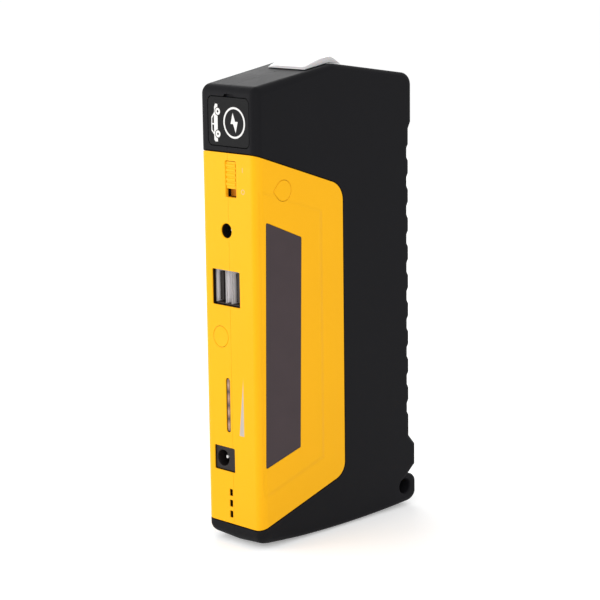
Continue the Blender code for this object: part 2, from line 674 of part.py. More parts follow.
def screw(name, x, z, head_y, side, length):
    """A cross-head screw along Y. Its head's outer face is at head_y and it points away from side."""
    under = head_y - side * SCREW_HEAD
    tip = under - side * length
    skin = turned("y", (x, z), [
        (head_y, SCREW_HEAD_RADIUS * 0.8),
        (head_y - side * SCREW_HEAD * 0.3, SCREW_HEAD_RADIUS),
        (under, SCREW_HEAD_RADIUS),
        (under, SCREW_RADIUS),
        (tip + side * SCREW_RADIUS, SCREW_RADIUS),
        (tip, SCREW_RADIUS * 0.4),
    ], 16)
    made = build(name, [skin], BRIGHT_STEEL)
    arm = SCREW_HEAD_RADIUS * 0.55
    half = SCREW_HEAD_RADIUS * 0.12
    reach = sorted((head_y + side * MM, head_y - side * SCREW_HEAD * 0.5))
    cross = [
        (-arm, -half), (-half, -half), (-half, -arm), (half, -arm), (half, -half), (arm, -half),
        (arm, half), (half, half), (half, arm), (-half, arm), (-half, half), (-arm, half),
    ]
    cutter = build(f"cut_{name}", [prism([(x + u, z + v) for u, v in cross], "y", *reach)], None)
    combine(made, cutter, "DIFFERENCE")
    return made


def case_screws():
    for number, (x, z, side) in enumerate(screw_sites(), 1):
        head_y = side * (HALF_DEPTH - SCREW_SINK)
        length = HALF_DEPTH - SCREW_SINK - SCREW_HEAD + SCREW_GRIP
        screw(f"case_screw_{number}", x, z, head_y, side, length)


def pillar_skins():
    """Pillars for the case screws, right across the case: each half shell keeps its own length."""
    reach = HALF_DEPTH - PANEL_THICKNESS - PILLAR_SKIN
    ends = (-reach, reach)
    return [rod("y", (x, z), PILLAR_RADIUS, *ends, 24) for x, z, _ in screw_sites()]


def post_skins():
    """Posts from the front wall for the control board."""
    return [
        rod("y", (x, z), BOARD_POST_RADIUS, -HALF_DEPTH + WALL / 2, BOARD_BACK_Y - GAP, 16)
        for x, z in board_screw_sites()
    ]


def torch_post_skins():
    """Blocks under the roof that the torch board hangs against."""
    middle = LENS_X + LENS_LENGTH * 0.45
    inner = LENS_WIDTH / 2 - LENS_LIP + TORCH_POST_OFF
    outer = inner + TORCH_POST_WIDTH
    heights = (torch_board_top() + GAP, roof_z(middle - 2 * MM) - ROOF_WALL / 2)
    return [
        box((middle - 2 * MM, middle + 2 * MM), sorted((side * inner, side * outer)), heights)
        for side in (-1, 1)
    ]


def bore_skins():
    """Screw bores with their sunk heads, and the bores in the board's posts."""
    skins = []
    for x, z, side in screw_sites():
        face = side * (HALF_DEPTH + BEYOND)
        seat = side * (HALF_DEPTH - SCREW_SINK - SCREW_HEAD - GAP)
        end = -side * (SCREW_GRIP + MM)
        skins.append(turned("y", (x, z), [
            (face, SCREW_HEAD_RADIUS + GAP),
            (seat, SCREW_HEAD_RADIUS + GAP),
            (seat, SCREW_RADIUS + GAP),
            (end, SCREW_RADIUS + GAP),
        ], 20))
    for x, z in board_screw_sites():
        tip = BOARD_BACK_Y - BOARD_SCREW_LENGTH - MM
        skins.append(rod("y", (x, z), SCREW_RADIUS + GAP, tip, BOARD_TOP_Y + MM, 16))
    return skins


def half_space(name, side):
    """Everything on one side of the seam, short of it by half a gap."""
    reach = sorted((side * GAP / 2, side * (HALF_DEPTH + BEYOND)))
    span = (SOCKET_X - 2 * BEYOND, GRIP_X + 3 * BEYOND)
    return build(name, [box(span, reach, (-2 * BEYOND, RIDGE_Z + 3 * BEYOND))], None)


def shells():
    """The two black half shells, with the panels' beds, the pillars and every opening."""
    cavity = build("cut_cavity", [slab(cavity_corners(), INNER_Y)], None)
    opened = build("cut_openings", opening_skins(), None)
    notch = build("cut_nail_notch", [nail_notch()], None)
    bores = build("cut_bores", bore_skins(), None)
    bed = build("cut_bed", [prism(panel_outline(GAP), "y", -HALF_DEPTH - BEYOND, HALF_DEPTH + BEYOND)], None)
    combine(bed, build("cut_bed_core", [case_slab(PANEL_THICKNESS + GAP, False)], None), "DIFFERENCE")
    floor = build("cut_floor", [box(
        (SOCKET_X - BEYOND, GRIP_X + 2 * BEYOND),
        (-HALF_DEPTH - BEYOND, HALF_DEPTH + BEYOND),
        (-2 * BEYOND, 0.0),
    )], None)
    lanyard = build("cut_lanyard", [rod(
        "y",
        (GRIP_X + BOSS_OUT - LANYARD_INSET, LANYARD_Z),
        LANYARD_BORE / 2, -HALF_DEPTH - BEYOND, HALF_DEPTH + BEYOND, 24,
    )], None)
    torch = build("cut_torch", [torch_opening()], None)
    kept = build("keep_pillars_and_posts", pillar_skins() + post_skins() + torch_post_skins(), None)
    combine(cavity, kept, "DIFFERENCE")
    for name, side in (("front_shell", -1), ("back_shell", 1)):
        shell = build(name, [case_slab(0.0, True)], BLACK_PLASTIC)
        for cutter in (cavity, bed, opened, notch, bores, lanyard, torch, floor):
            combine(shell, cutter, "DIFFERENCE")
        combine(shell, half_space(f"keep_half_{name}", side), "INTERSECT")


def panels():
    """The yellow panels: a skin of the case inside the panel's outline, one on each side of the seam."""
    core = build("cut_panel_core", [case_slab(PANEL_THICKNESS, False)], None)
    opened = bpy.data.objects["cut_openings"]
    bores = bpy.data.objects["cut_bores"]
    recess = build("cut_plate_recess", [prism(
        plate_outline(GAP), "y", -HALF_DEPTH - BEYOND, -HALF_DEPTH + PLATE_THICKNESS + GAP,
    )], None)
    cap_hole = build("cut_cap_hole", [prism(cap_outline(GAP), "y", -HALF_DEPTH - BEYOND, -INNER_Y)], None)
    for name, side in (("front_panel", -1), ("back_panel", 1)):
        panel = build(name, [case_slab(0.0, False)], YELLOW_PLASTIC)
        reach = sorted((side * GAP / 2, side * (HALF_DEPTH + BEYOND)))
        zone = build(f"keep_{name}", [prism(panel_outline(0.0), "y", *reach)], None)
        combine(panel, zone, "INTERSECT")
        combine(panel, core, "DIFFERENCE")
        combine(panel, opened, "DIFFERENCE")
        if side < 0:
            combine(panel, recess, "DIFFERENCE")
            combine(panel, cap_hole, "DIFFERENCE")
            combine(panel, bores, "DIFFERENCE")


def plate_and_cap():
    plate_faces = (-HALF_DEPTH, -HALF_DEPTH + PLATE_THICKNESS)
    build("rating_plate", [prism(plate_outline(0.0), "y", *plate_faces)], PLATE_PRINT)
    cap_faces = (-HALF_DEPTH, -HALF_DEPTH + PANEL_THICKNESS)
    build("screw_cap", [prism(cap_outline(0.0), "y", *cap_faces)], YELLOW_PLASTIC)


def socket_cover():
    """The rubber cover, which swings out about its lower outer edge."""
    faces = (SOCKET_X, SOCKET_X + COVER_THICKNESS)
    hinge = (SOCKET_X, COVER_Y, COVER_Z - COVER_HEIGHT / 2)
    build("socket_cover", [prism(cover_outline(0.0), "x", *faces)], BLACK_RUBBER, hinge)


def engine_socket():
    """The socket body behind the cover, its two contacts and the leads to the cells."""
    front = INNER_X + GAP
    back = front + SOCKET_LENGTH
    low = COVER_Z - COVER_HEIGHT / 2 - SOCKET_FLANGE_LAP
    high = COVER_Z + COVER_HEIGHT / 2 + SOCKET_FLANGE_LAP
    flange = box((front, front + SOCKET_FLANGE), (GAP - INNER_Y, INNER_Y - GAP), (low, high))
    body = build("engine_socket", [flange], BLUE_PLASTIC)
    block = prism(
        rectangle(COVER_Y, COVER_Z, SOCKET_BODY_WIDTH, SOCKET_BODY_HEIGHT, COVER_CORNER),
        "x", front + SOCKET_FLANGE / 2, back,
    )
    combine(body, build("add_socket_block", [block], None), "UNION")
    mouth = prism(
        rectangle(COVER_Y, COVER_Z, SOCKET_MOUTH_WIDTH, SOCKET_MOUTH_HEIGHT, COVER_CORNER),
        "x", front - MM, front + SOCKET_MOUTH_DEPTH,
    )
    combine(body, build("cut_socket_mouth", [mouth], None), "DIFFERENCE")
    sites = (("positive", 1), ("negative", -1))
    bores = [
        rod("x", (COVER_Y + side * CONTACT_SPACING / 2, COVER_Z), CONTACT_RADIUS + GAP, front + MM, back + MM)
        for _, side in sites
    ]
    combine(body, build("cut_contact_bores", bores, None), "DIFFERENCE")
    for name, side in sites:
        spot = (COVER_Y + side * CONTACT_SPACING / 2, COVER_Z)
        start = front + SOCKET_MOUTH_DEPTH
        contact = build(f"contact_{name}", [rod("x", spot, CONTACT_RADIUS, start, back + CONTACT_TAIL)], BRASS)
        bore = rod("x", spot, CONTACT_BORE, start - MM, back - 2 * MM)
        combine(contact, build(f"cut_contact_{name}", [bore], None), "DIFFERENCE")


def smooth_route(stops, pieces=6):
    """Points of a smooth curve through the stops, by Catmull and Rom's rule."""
    stops = [Vector(stop) for stop in stops]
    padded = [2 * stops[0] - stops[1], *stops, 2 * stops[-1] - stops[-2]]
    route = []
    for before, start, end, after in zip(padded, padded[1:], padded[2:], padded[3:]):
        for step in range(pieces):
            share = step / pieces
            route.append(0.5 * (
                2 * start
                + (end - before) * share
                + (2 * before - 5 * start + 4 * end - after) * share**2
                + (3 * start - before - 3 * end + after) * share**3
            ))
    return [*route, stops[-1]]


def cable(name, stops, radius, finish):
    curve = bpy.data.curves.new(name, "CURVE")
    curve.dimensions = "3D"
    curve.bevel_depth = radius
    curve.bevel_resolution = 2
    curve.use_fill_caps = True
    curve.materials.append(material(name, *finish))
    line = curve.splines.new("POLY")
    route = smooth_route(stops)
    line.points.add(len(route) - 1)
    for point, spot in zip(line.points, route):
        point.co = (*spot, 1.0)
    made = bpy.data.objects.new(name, curve)
    bpy.context.scene.collection.objects.link(made)


def leads():
    """A thick lead from each contact to the free tab at each end of the stack of cells."""
    tail = INNER_X + GAP + SOCKET_LENGTH + CONTACT_TAIL + GAP
    drop = TAB_TOP_Z + GAP
    for name, side, tab_x, finish in (
        ("lead_negative", -1, TAB_XS[0], BLACK_RUBBER),
        ("lead_positive", 1, TAB_XS[1], RED_RUBBER),
    ):
        start_y = COVER_Y + side * CONTACT_SPACING / 2
        end_y = side * (CELL_COUNT - 1) / 2 * CELL_STEP
        run = tab_x - tail
        cable(name, [
            (tail, start_y, COVER_Z),
            (tail + 0.25 * run, start_y, COVER_Z),
            (tail + 0.75 * run, (start_y + end_y) / 2, COVER_Z - 0.1 * (COVER_Z - drop)),
            (tab_x, end_y, drop + 0.45 * (COVER_Z - drop)),
            (tab_x, end_y, drop),
        ], LEAD_RADIUS, finish)
    x = BOARD_RIGHT - 2.0 * MM
    top = torch_board_top() - TORCH_BOARD_THICKNESS - GAP
    side_y = INNER_Y - 2 * WIRE_RADIUS
    laid_y = BOARD_TOP_Y + GAP + 1.2 * WIRE_RADIUS
    cable("torch_wire", [
        (LENS_X + 4.5 * MM, LENS_WIDTH / 2 - 2 * WIRE_RADIUS, top),
        (LENS_X + 3.0 * MM, side_y - MM, top - 5.0 * MM),
        (BOARD_RIGHT + 1.0 * MM, side_y, COVER_Z),
        (x + 1.0 * MM, side_y - 3.0 * MM, BOARD_HIGH_Z + 3.0 * MM),
        (x, laid_y + 2.0 * MM, BOARD_HIGH_Z - 1.0 * MM),
        (x, laid_y + 0.4 * MM, BOARD_HIGH_Z - 5.0 * MM),
        (x, laid_y, BOARD_HIGH_Z - 9.0 * MM),
    ], WIRE_RADIUS, RED_RUBBER)


def cells():
    """Three flat cells with two tabs each, linked in a row, between two foam pads."""
    first = -(CELL_COUNT - 1) / 2 * CELL_STEP
    for number in range(CELL_COUNT):
        y = first + number * CELL_STEP
        middle_x = (CELL_LEFT + CELL_RIGHT) / 2
        outline = rectangle(middle_x, y, CELL_RIGHT - CELL_LEFT, CELL_THICKNESS, CELL_ROUND)
        cell = build(f"battery_cell_{number + 1}", [prism(outline, "z", CELL_BOTTOM_Z, CELL_TOP_Z)], CELL_FOIL)
        tabs = [
            box(
                (x - TAB_WIDTH / 2, x + TAB_WIDTH / 2),
                (y - TAB_THICKNESS / 2, y + TAB_THICKNESS / 2),
                (CELL_TOP_Z - MM, TAB_TOP_Z),
            )
            for x in TAB_XS
        ]
        combine(cell, build(f"add_tabs_{number + 1}", tabs, None), "UNION")
    for number, x in ((1, TAB_XS[1]), (2, TAB_XS[0])):
        y = first + (number - 1) * CELL_STEP
        build(f"cell_link_{number}", [box(
            (x - TAB_WIDTH / 2, x + TAB_WIDTH / 2),
            (y - MM, y + CELL_STEP + MM),
            (TAB_TOP_Z + GAP, TAB_TOP_Z + GAP + LINK_THICKNESS),
        )], NICKEL)
    for name, side in (("foam_pad_front", -1), ("foam_pad_back", 1)):
        reach = sorted((side * (INNER_Y - GAP), side * (INNER_Y - GAP - PAD_THICKNESS)))
        build(name, [box(
            (CELL_LEFT + PAD_MARGIN, CELL_RIGHT - PAD_MARGIN),
            reach,
            (CELL_BOTTOM_Z + PAD_MARGIN, CELL_TOP_Z - PAD_MARGIN),
        )], FOAM)


def usb_outlet():
    """The double outlet: one metal shell with two mouths, and a plastic tongue in each."""
    front = SOCKET_X + USB_RECESS
    back = front + USB_LENGTH
    body = build("usb_shell", [prism(
        rectangle(USB_Y, USB_Z, USB_STACK, USB_WIDTH, SHARP_CORNER), "x", front, back,
    )], BRIGHT_STEEL)
    mouths = []
    for number, side in ((1, 1), (2, -1)):
        y = USB_Y + side * (USB_PORT_HEIGHT + USB_WEB) / 2
        height = USB_PORT_HEIGHT - 2 * USB_SHELL_WALL
        width = USB_WIDTH - 2 * USB_SHELL_WALL
        mouths.append(prism(
            rectangle(y, USB_Z, height, width, USB_MOUTH_CORNER), "x", front - MM, front + USB_MOUTH_DEPTH,
        ))
        tongue_y = y + height / 2 - TONGUE_SIDE_GAP - TONGUE_THICKNESS
        end = front + USB_MOUTH_DEPTH - GAP
        build(f"usb_tongue_{number}", [box(
            (end - TONGUE_LENGTH, end),
            (tongue_y, tongue_y + TONGUE_THICKNESS),
            (USB_Z - width / 2 + TONGUE_SIDE_GAP, USB_Z + width / 2 - TONGUE_SIDE_GAP),
        )], WHITE_PLASTIC)
    combine(body, build("cut_usb_mouths", mouths, None), "DIFFERENCE")


def jacks():
    """The inlet and the outlet for round plugs, each with a centre pin."""
    low = BOARD_TOP_Y + GAP
    front = SOCKET_X + INLET_RECESS
    inlet = build("inlet_jack", [prism(
        rectangle(low + INLET_HEIGHT / 2, INLET_Z, INLET_HEIGHT, INLET_WIDTH, INLET_CORNER),
        "x", front, front + INLET_LENGTH,
    )], GREY_PLASTIC)
    outlet_front = INNER_X + GAP
    outlet = build("outlet_jack", [box(
        (outlet_front, outlet_front + OUTLET_LENGTH),
        (OUTLET_Y - OUTLET_BODY / 2, OUTLET_Y + OUTLET_BODY / 2),
        (OUTLET_Z - OUTLET_BODY / 2, OUTLET_Z + OUTLET_BODY / 2),
    )], BLACK_PLASTIC)
    for name, body, spot, radius, start, depth in (
        ("inlet", inlet, (INLET_BORE_Y, INLET_Z), INLET_BORE / 2, front, INLET_BORE_DEPTH),
        ("outlet", outlet, (OUTLET_Y, OUTLET_Z), OUTLET_BORE / 2, outlet_front, OUTLET_BORE_DEPTH),
    ):
        bore = build(f"cut_{name}_bore", [rod("x", spot, radius, start - MM, start + depth, 24)], None)
        combine(body, bore, "DIFFERENCE")
        tip = start + (JACK_PIN_RECESS if name == "inlet" else 0.0)
        build(f"{name}_pin", [turned("x", spot, [
            (tip, JACK_PIN_RADIUS * 0.6),
            (tip + JACK_PIN_RADIUS * 0.5, JACK_PIN_RADIUS),
            (start + depth - GAP, JACK_PIN_RADIUS),
        ], 16)], BRIGHT_STEEL)


def button_and_switch():
    """The push button with its switch, and the slide switch with its knob."""
    cap_end = INNER_X + GAP
    stem_start = cap_end + BUTTON_FLANGE
    stem_end = stem_start + BUTTON_STEM
    spot = (BUTTON_Y, BUTTON_Z)
    build("power_button", [turned("x", spot, [
        (SOCKET_X, BUTTON_RADIUS - BUTTON_EDGE),
        (SOCKET_X + BUTTON_EDGE, BUTTON_RADIUS),
        (cap_end, BUTTON_RADIUS),
        (cap_end, BUTTON_RADIUS + MM),
        (stem_start, BUTTON_RADIUS + MM),
        (stem_start, BUTTON_STEM_RADIUS),
        (stem_end, BUTTON_STEM_RADIUS),
    ], 32)], YELLOW_PLASTIC, (SOCKET_X, BUTTON_Y, BUTTON_Z))
    body_front = stem_end + GAP + PLUNGER_REACH
    build("button_plunger", [rod(
        "x", spot, BUTTON_STEM_RADIUS, stem_end + GAP, body_front + PLUNGER_SUNK, 16,
    )], BLACK_PLASTIC, (stem_end + GAP, BUTTON_Y, BUTTON_Z))
    tact = build("button_switch", [box(
        (body_front, body_front + TACT_DEPTH),
        (BOARD_TOP_Y + GAP, BUTTON_Y + TACT_WIDTH / 2),
        (BUTTON_Z - TACT_WIDTH / 2, BUTTON_Z + TACT_WIDTH / 2),
    )], GREY_PLASTIC)
    bore = rod(
        "x", spot, BUTTON_STEM_RADIUS + GAP,
        body_front - MM, body_front + PLUNGER_SUNK + BUTTON_TRAVEL + GAP, 16,
    )
    combine(tact, build("cut_plunger_bore", [bore], None), "DIFFERENCE")

    front = SOCKET_X + KNOB_RECESS
    back = front + KNOB_THICKNESS
    half = (SWITCH_SLOT_WIDTH - 2 * GAP) / 2
    face = front + KNOB_RIDGE_HEIGHT
    ridged = [(back, KNOB_Z - KNOB_HEIGHT / 2), (back, KNOB_TOP_Z)]
    pitch = KNOB_HEIGHT / (KNOB_RIDGES + 0.5)
    for step in range(KNOB_RIDGES):
        top = KNOB_TOP_Z - (step + 0.25) * pitch
        ridged += [(face, top), (front, top - 0.2 * pitch), (front, top - 0.4 * pitch), (face, top - 0.6 * pitch)]
    ridged.insert(2, (face, KNOB_TOP_Z))
    ridged.append((face, KNOB_Z - KNOB_HEIGHT / 2))
    knob = build("switch_knob", [
        prism(ridged, "y", SWITCH_Y - half, SWITCH_Y + half),
    ], YELLOW_PLASTIC, (front, SWITCH_Y, KNOB_Z))
    stem = box(
        (back - MM, back + STEM_LENGTH),
        (SWITCH_Y - STEM_WIDTH / 2, SWITCH_Y + STEM_WIDTH / 2),
        (KNOB_Z - STEM_HEIGHT / 2, KNOB_Z + STEM_HEIGHT / 2),
    )
    combine(knob, build("add_knob_stem", [stem], None), "UNION")
    body_x = INNER_X + GAP
    body = build("switch_body", [box(
        (body_x, body_x + SWITCH_BODY_DEPTH),
        (SWITCH_Y - half - SWITCH_BODY_RIM, SWITCH_Y + half + SWITCH_BODY_RIM),
        (SWITCH_Z - SWITCH_SLOT_HEIGHT / 2, SWITCH_Z + SWITCH_SLOT_HEIGHT / 2),
    )], GREY_PLASTIC)
    slot = box(
        (body_x - MM, back + STEM_LENGTH + GAP),
        (SWITCH_Y - STEM_WIDTH / 2 - GAP, SWITCH_Y + STEM_WIDTH / 2 + GAP),
        (KNOB_Z - STEM_HEIGHT / 2 - KNOB_TRAVEL - GAP, KNOB_Z + STEM_HEIGHT / 2 + GAP),
    )
    combine(body, build("cut_switch_slot", [slot], None), "DIFFERENCE")


def level_lights():
    """The tall amber window and the lights on the board behind it."""
    outline = rectangle(
        LIGHTS_Y, LIGHTS_Z, LIGHTS_WIDTH - PORT_CLEARANCE, LIGHTS_HEIGHT - PORT_CLEARANCE,
        (LIGHTS_WIDTH - PORT_CLEARANCE) * 0.48,
    )
    window_back = INNER_X - GAP
    build("light_window", [prism(outline, "x", SOCKET_X + WINDOW_RECESS, window_back)], AMBER)
    pitch = LIGHTS_HEIGHT / LIGHT_COUNT
    for number in range(LIGHT_COUNT):
        z = LIGHTS_Z + (number - (LIGHT_COUNT - 1) / 2) * pitch
        build(f"level_light_{number + 1}", [box(
            (window_back + GAP, window_back + GAP + LIGHT_SIZE),
            (BOARD_TOP_Y + GAP, LIGHTS_Y + LIGHT_SIZE / 2),
            (z - LIGHT_SIZE / 2, z + LIGHT_SIZE / 2),
        )], WHITE_PLASTIC)


def control_board():
    """The control board, notched round the sunk sockets, with the larger parts that it carries."""
    board = build("control_board", [box(
        (BOARD_LEFT, BOARD_RIGHT), (BOARD_BACK_Y, BOARD_TOP_Y), (BOARD_LOW_Z, BOARD_HIGH_Z),
    )], GREEN_BOARD)
    through = (BOARD_BACK_Y - MM, BOARD_TOP_Y + MM)
    notches = [
        (SOCKET_X + USB_RECESS + USB_LENGTH, USB_Z, USB_WIDTH),
        (INNER_X + GAP + OUTLET_LENGTH, OUTLET_Z, OUTLET_BODY),
        (INNER_X + GAP + SWITCH_BODY_DEPTH, SWITCH_Z, SWITCH_SLOT_HEIGHT),
    ]
    cutters = [
        box((BOARD_LEFT - MM, back + GAP), through, (z - width / 2 - GAP, z + width / 2 + GAP))
        for back, z, width in notches
    ]
    cutters += [rod("y", (x, z), PILLAR_RADIUS + GAP, *through, 24) for x, z, side in screw_sites() if side < 0]
    cutters += [rod("y", (x, z), SCREW_RADIUS + GAP, *through, 16) for x, z in board_screw_sites()]
    combine(board, build("cut_board", cutters, None), "DIFFERENCE")
    for number, (x, z) in enumerate(board_screw_sites(), 1):
        screw(f"board_screw_{number}", x, z, BOARD_TOP_Y + GAP + SCREW_HEAD, 1, BOARD_SCREW_LENGTH)

    top = BOARD_TOP_Y + GAP
    under = BOARD_BACK_Y - GAP
    sounder_z = SLOTS_Z + ((SLOT_COUNT - 1) * SLOT_PITCH + SLOT_HEIGHT) / 2
    sounder_x = INNER_X + 3 * GAP + SOUNDER_RADIUS
    build("sounder", [rod("y", (sounder_x, sounder_z), SOUNDER_RADIUS, top, top + SOUNDER_HEIGHT)], BLACK_PLASTIC)
    middle = BOARD_LEFT + BOARD_WIDTH * 0.52
    coil_spot = (middle, LIGHTS_Z + COIL_ABOVE_LIGHTS)
    build("coil", [rod("y", coil_spot, COIL_RADIUS, under - COIL_HEIGHT, under)], GREY_PLASTIC)
    relay_z = (BUTTON_Z - BUTTON_RADIUS, BUTTON_Z - BUTTON_RADIUS + RELAY_SIZE[2])
    build("relay", [box(
        (middle - RELAY_SIZE[0] / 2 - RELAY_ASIDE, middle + RELAY_SIZE[0] / 2 - RELAY_ASIDE),
        (under - RELAY_SIZE[1], under),
        relay_z,
    )], WHITE_PLASTIC)
    spot = (BOARD_RIGHT - CAPACITOR_RADIUS - PART_MARGIN, top + CAPACITOR_RADIUS)
    start = LIGHTS_Z + PART_MARGIN
    build("capacitor", [rod("z", spot, CAPACITOR_RADIUS, start, start + CAPACITOR_LENGTH)], ALUMINIUM)


def torch_board_top():
    return roof_z(LENS_X) - TORCH_BOARD_DROP


def torch_opening():
    """The hole in the roof under the lens."""
    return box(
        (LENS_X + LENS_LIP, LENS_X + LENS_LENGTH - LENS_LIP),
        (LENS_LIP - LENS_WIDTH / 2, LENS_WIDTH / 2 - LENS_LIP),
        (torch_board_top() + TORCH_ROOM, RIDGE_Z + BEYOND),
    )


def torch():
    """The frosted lens, which rides over the ridge, with the board and lights under the roof."""
    left = LENS_X
    right = LENS_X + LENS_LENGTH
    crest = RIDGE_Z + LENS_CREST
    rings = []
    side = LENS_WIDTH / 2
    shares = ((side, 0.25), (side - LENS_STEP, 0.75), (side - LENS_SHOULDER, 1.0))
    for y, share in [(-y, share) for y, share in shares] + list(reversed(shares)):
        profile = [
            (left, roof_z(left), 0.0),
            (RIDGE_X, RIDGE_Z, 0.0),
            (right, roof_z(right), 0.0),
            (right, roof_z(right), LENS_EDGE),
            (right - LENS_SLANT, crest - LENS_DROP - LENS_CREST, LENS_CREST),
            (right - 2 * LENS_SLANT, crest - LENS_CREST, LENS_CREST),
            (RIDGE_X + MM, crest - LENS_CREST, LENS_CREST),
            (left, roof_z(left), LENS_EDGE),
        ]
        rings.append([(x, y, z + GAP + rise * share) for x, z, rise in profile])
    lens = build("torch_lens", [loft(rings)], FROSTED)
    hollow = prism([
        (left + LENS_LIP, roof_z(left + LENS_LIP) - LENS_SLANT),
        (right - LENS_LIP, roof_z(right - LENS_LIP) - LENS_SLANT),
        (right - LENS_LIP, roof_z(right - LENS_LIP) + GAP),
        (RIDGE_X, crest - LENS_WALL),
        (left + LENS_LIP, roof_z(left + LENS_LIP) + GAP),
    ], "y", LENS_LIP - side, side - LENS_LIP)
    combine(lens, build("cut_lens", [hollow], None), "DIFFERENCE")
    top = torch_board_top()
    half = side - LENS_LIP + TORCH_BOARD_MARGIN
    build("torch_board", [box(
        (left + MM, right - MM), (-half, half), (top - TORCH_BOARD_THICKNESS, top),
    )], WHITE_BOARD)
    middle = left + LENS_LENGTH * 0.45
    for number in range(TORCH_LED_COUNT):
        y = (number - (TORCH_LED_COUNT - 1) / 2) * TORCH_LED_PITCH
        build(f"torch_led_{number + 1}", [box(
            (middle - TORCH_LED_SIZE / 2, middle + TORCH_LED_SIZE / 2),
            (y - TORCH_LED_SIZE / 2, y + TORCH_LED_SIZE / 2),
            (top + GAP, top + GAP + TORCH_LED_HEIGHT),
        )], LED_YELLOW)


def main():
    clear_scene()
    shells()
    panels()
    plate_and_cap()
    socket_cover()
    engine_socket()
    cells()
    leads()
    usb_outlet()
    jacks()
    button_and_switch()
    level_lights()
    control_board()
    torch()
    case_screws()


main()
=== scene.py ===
import functools
import math

import bpy
import numpy as np
from mathutils import Matrix, Vector


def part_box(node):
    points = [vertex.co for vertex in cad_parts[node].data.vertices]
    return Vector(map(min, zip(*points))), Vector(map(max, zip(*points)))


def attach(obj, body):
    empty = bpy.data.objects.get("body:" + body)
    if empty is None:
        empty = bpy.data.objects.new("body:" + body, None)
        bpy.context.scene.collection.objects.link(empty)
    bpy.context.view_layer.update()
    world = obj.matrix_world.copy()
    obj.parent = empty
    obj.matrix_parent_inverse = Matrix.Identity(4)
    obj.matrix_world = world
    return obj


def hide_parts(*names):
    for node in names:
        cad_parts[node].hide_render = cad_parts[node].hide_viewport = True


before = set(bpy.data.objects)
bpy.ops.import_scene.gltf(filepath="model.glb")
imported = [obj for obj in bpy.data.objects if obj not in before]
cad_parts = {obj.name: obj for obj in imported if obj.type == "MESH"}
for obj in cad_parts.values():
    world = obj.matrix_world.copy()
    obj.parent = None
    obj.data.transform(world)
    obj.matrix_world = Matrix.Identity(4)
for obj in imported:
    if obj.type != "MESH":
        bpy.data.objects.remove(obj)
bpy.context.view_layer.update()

bl_info = {
    "name": "Jump Starter Pack",
    "version": (1, 0, 0),
    "blender": (4, 5, 0),
    "location": "3D View > Sidebar > Starter Pack",
    "description": "Dresses the packed jump starter pack: its case, panels, sockets, torch and finishes",
    "category": "Object",
}

MM = 0.001
PER_METRE = 1000.0  # the finishes are worked out in millimetres


def low(node):
    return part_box(node)[0]


def high(node):
    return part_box(node)[1]


def middle(node):
    return (low(node) + high(node)) / 2


def extent(node):
    return high(node) - low(node)


SOCKET_X = low("front_shell").x
FAR_X = high("front_shell").x
HALF_DEPTH = high("back_shell").y
BEYOND = 6.0 * MM  # how far a cutter runs past what it cuts
THROUGH = (-HALF_DEPTH - BEYOND, HALF_DEPTH + BEYOND)  # a cutter's reach from one wide face to the other
SHARP = math.radians(32)


# Settings that a user would change


def number(name, description, default, **limits):
    return bpy.props.FloatProperty(name=name, description=description, default=default, **limits)


def length(name, description, default):
    return number(name, description, default, min=0.0, precision=5, unit="LENGTH", subtype="DISTANCE")


def slope(name, description, default):
    return number(name, description, math.radians(default), unit="ROTATION", subtype="ANGLE")


def amount(name, description, default):
    return number(name, description, default, min=0.0, max=200.0)


def colour(name, description, default):
    return bpy.props.FloatVectorProperty(
        name=name, description=description, default=default, size=3, min=0.0, max=1.0, subtype="COLOR",
    )


class CaseSizes(bpy.types.PropertyGroup):
    """Sizes of the two black half shells."""

    crest: length("Grip crest", "From the socket face to the crest of the grip", 83.0 * MM)
    wall: length("Wall", "Thickness of the case wall", 2.7 * MM)
    floor_wall: length("Floor wall", "Thickness of the case floor", 3.4 * MM)
    gap: length("Gap", "Room between pieces that would touch", 0.3 * MM)
    seam: length("Seam", "Visible gap between the two halves", 0.08 * MM)
    rim: length("Rim", "Rounding of the moulded edges", 0.22 * MM)
    edge: length("Edge radius", "Round edge of the wide faces", 2.2 * MM)
    socket_edge: length("Socket edge radius", "The same edge at the top of the socket face", 3.4 * MM)
    low_edge: length("Low socket edge", "The same edge at the foot of the socket face", 3.6 * MM)
    roof_low: length("Roof height", "Height of the roof above the socket face", 173.94 * MM)
    roof_slope: slope("Roof slope", "Slope of the roof to each side of its ridge", 8.8)
    ridge_from_sockets: length("Ridge place", "From the socket face to the ridge", 41.5 * MM)
    ridge_radius: length("Ridge radius", "Rounding of the ridge", 9.0 * MM)
    roof_corner: length("Roof corner", "Corner over the socket face", 3.9 * MM)
    grip_corner: length("Grip corner", "Corners of roof and floor on the grip side", 5.0 * MM)
    floor_corner: length("Floor corner", "Corner under the socket face", 4.8 * MM)
    keel_radius: length("Keel radius", "Arc of the floor, seen from the wide side", 550.0 * MM)
    foot_cut: length("Foot cut", "Taken off the lowest line of the floor", 0.45 * MM)
    groove_depth: length("Groove depth", "Depth of the grip's grooves", 0.85 * MM)
    groove_pitch: length("Groove pitch", "Distance between the grip's grooves", 11.37 * MM)
    groove_first: length("First groove", "Height of the lowest groove", 40.7 * MM)
    lanyard_bore: length("Lanyard bore", "Width of the hole for the hand strap", 6.0 * MM)
    lanyard_inset: length("Lanyard inset", "From the far side to the hole's middle", 7.1 * MM)
    lanyard_height: length("Lanyard height", "Height of the hole's middle", 8.7 * MM)


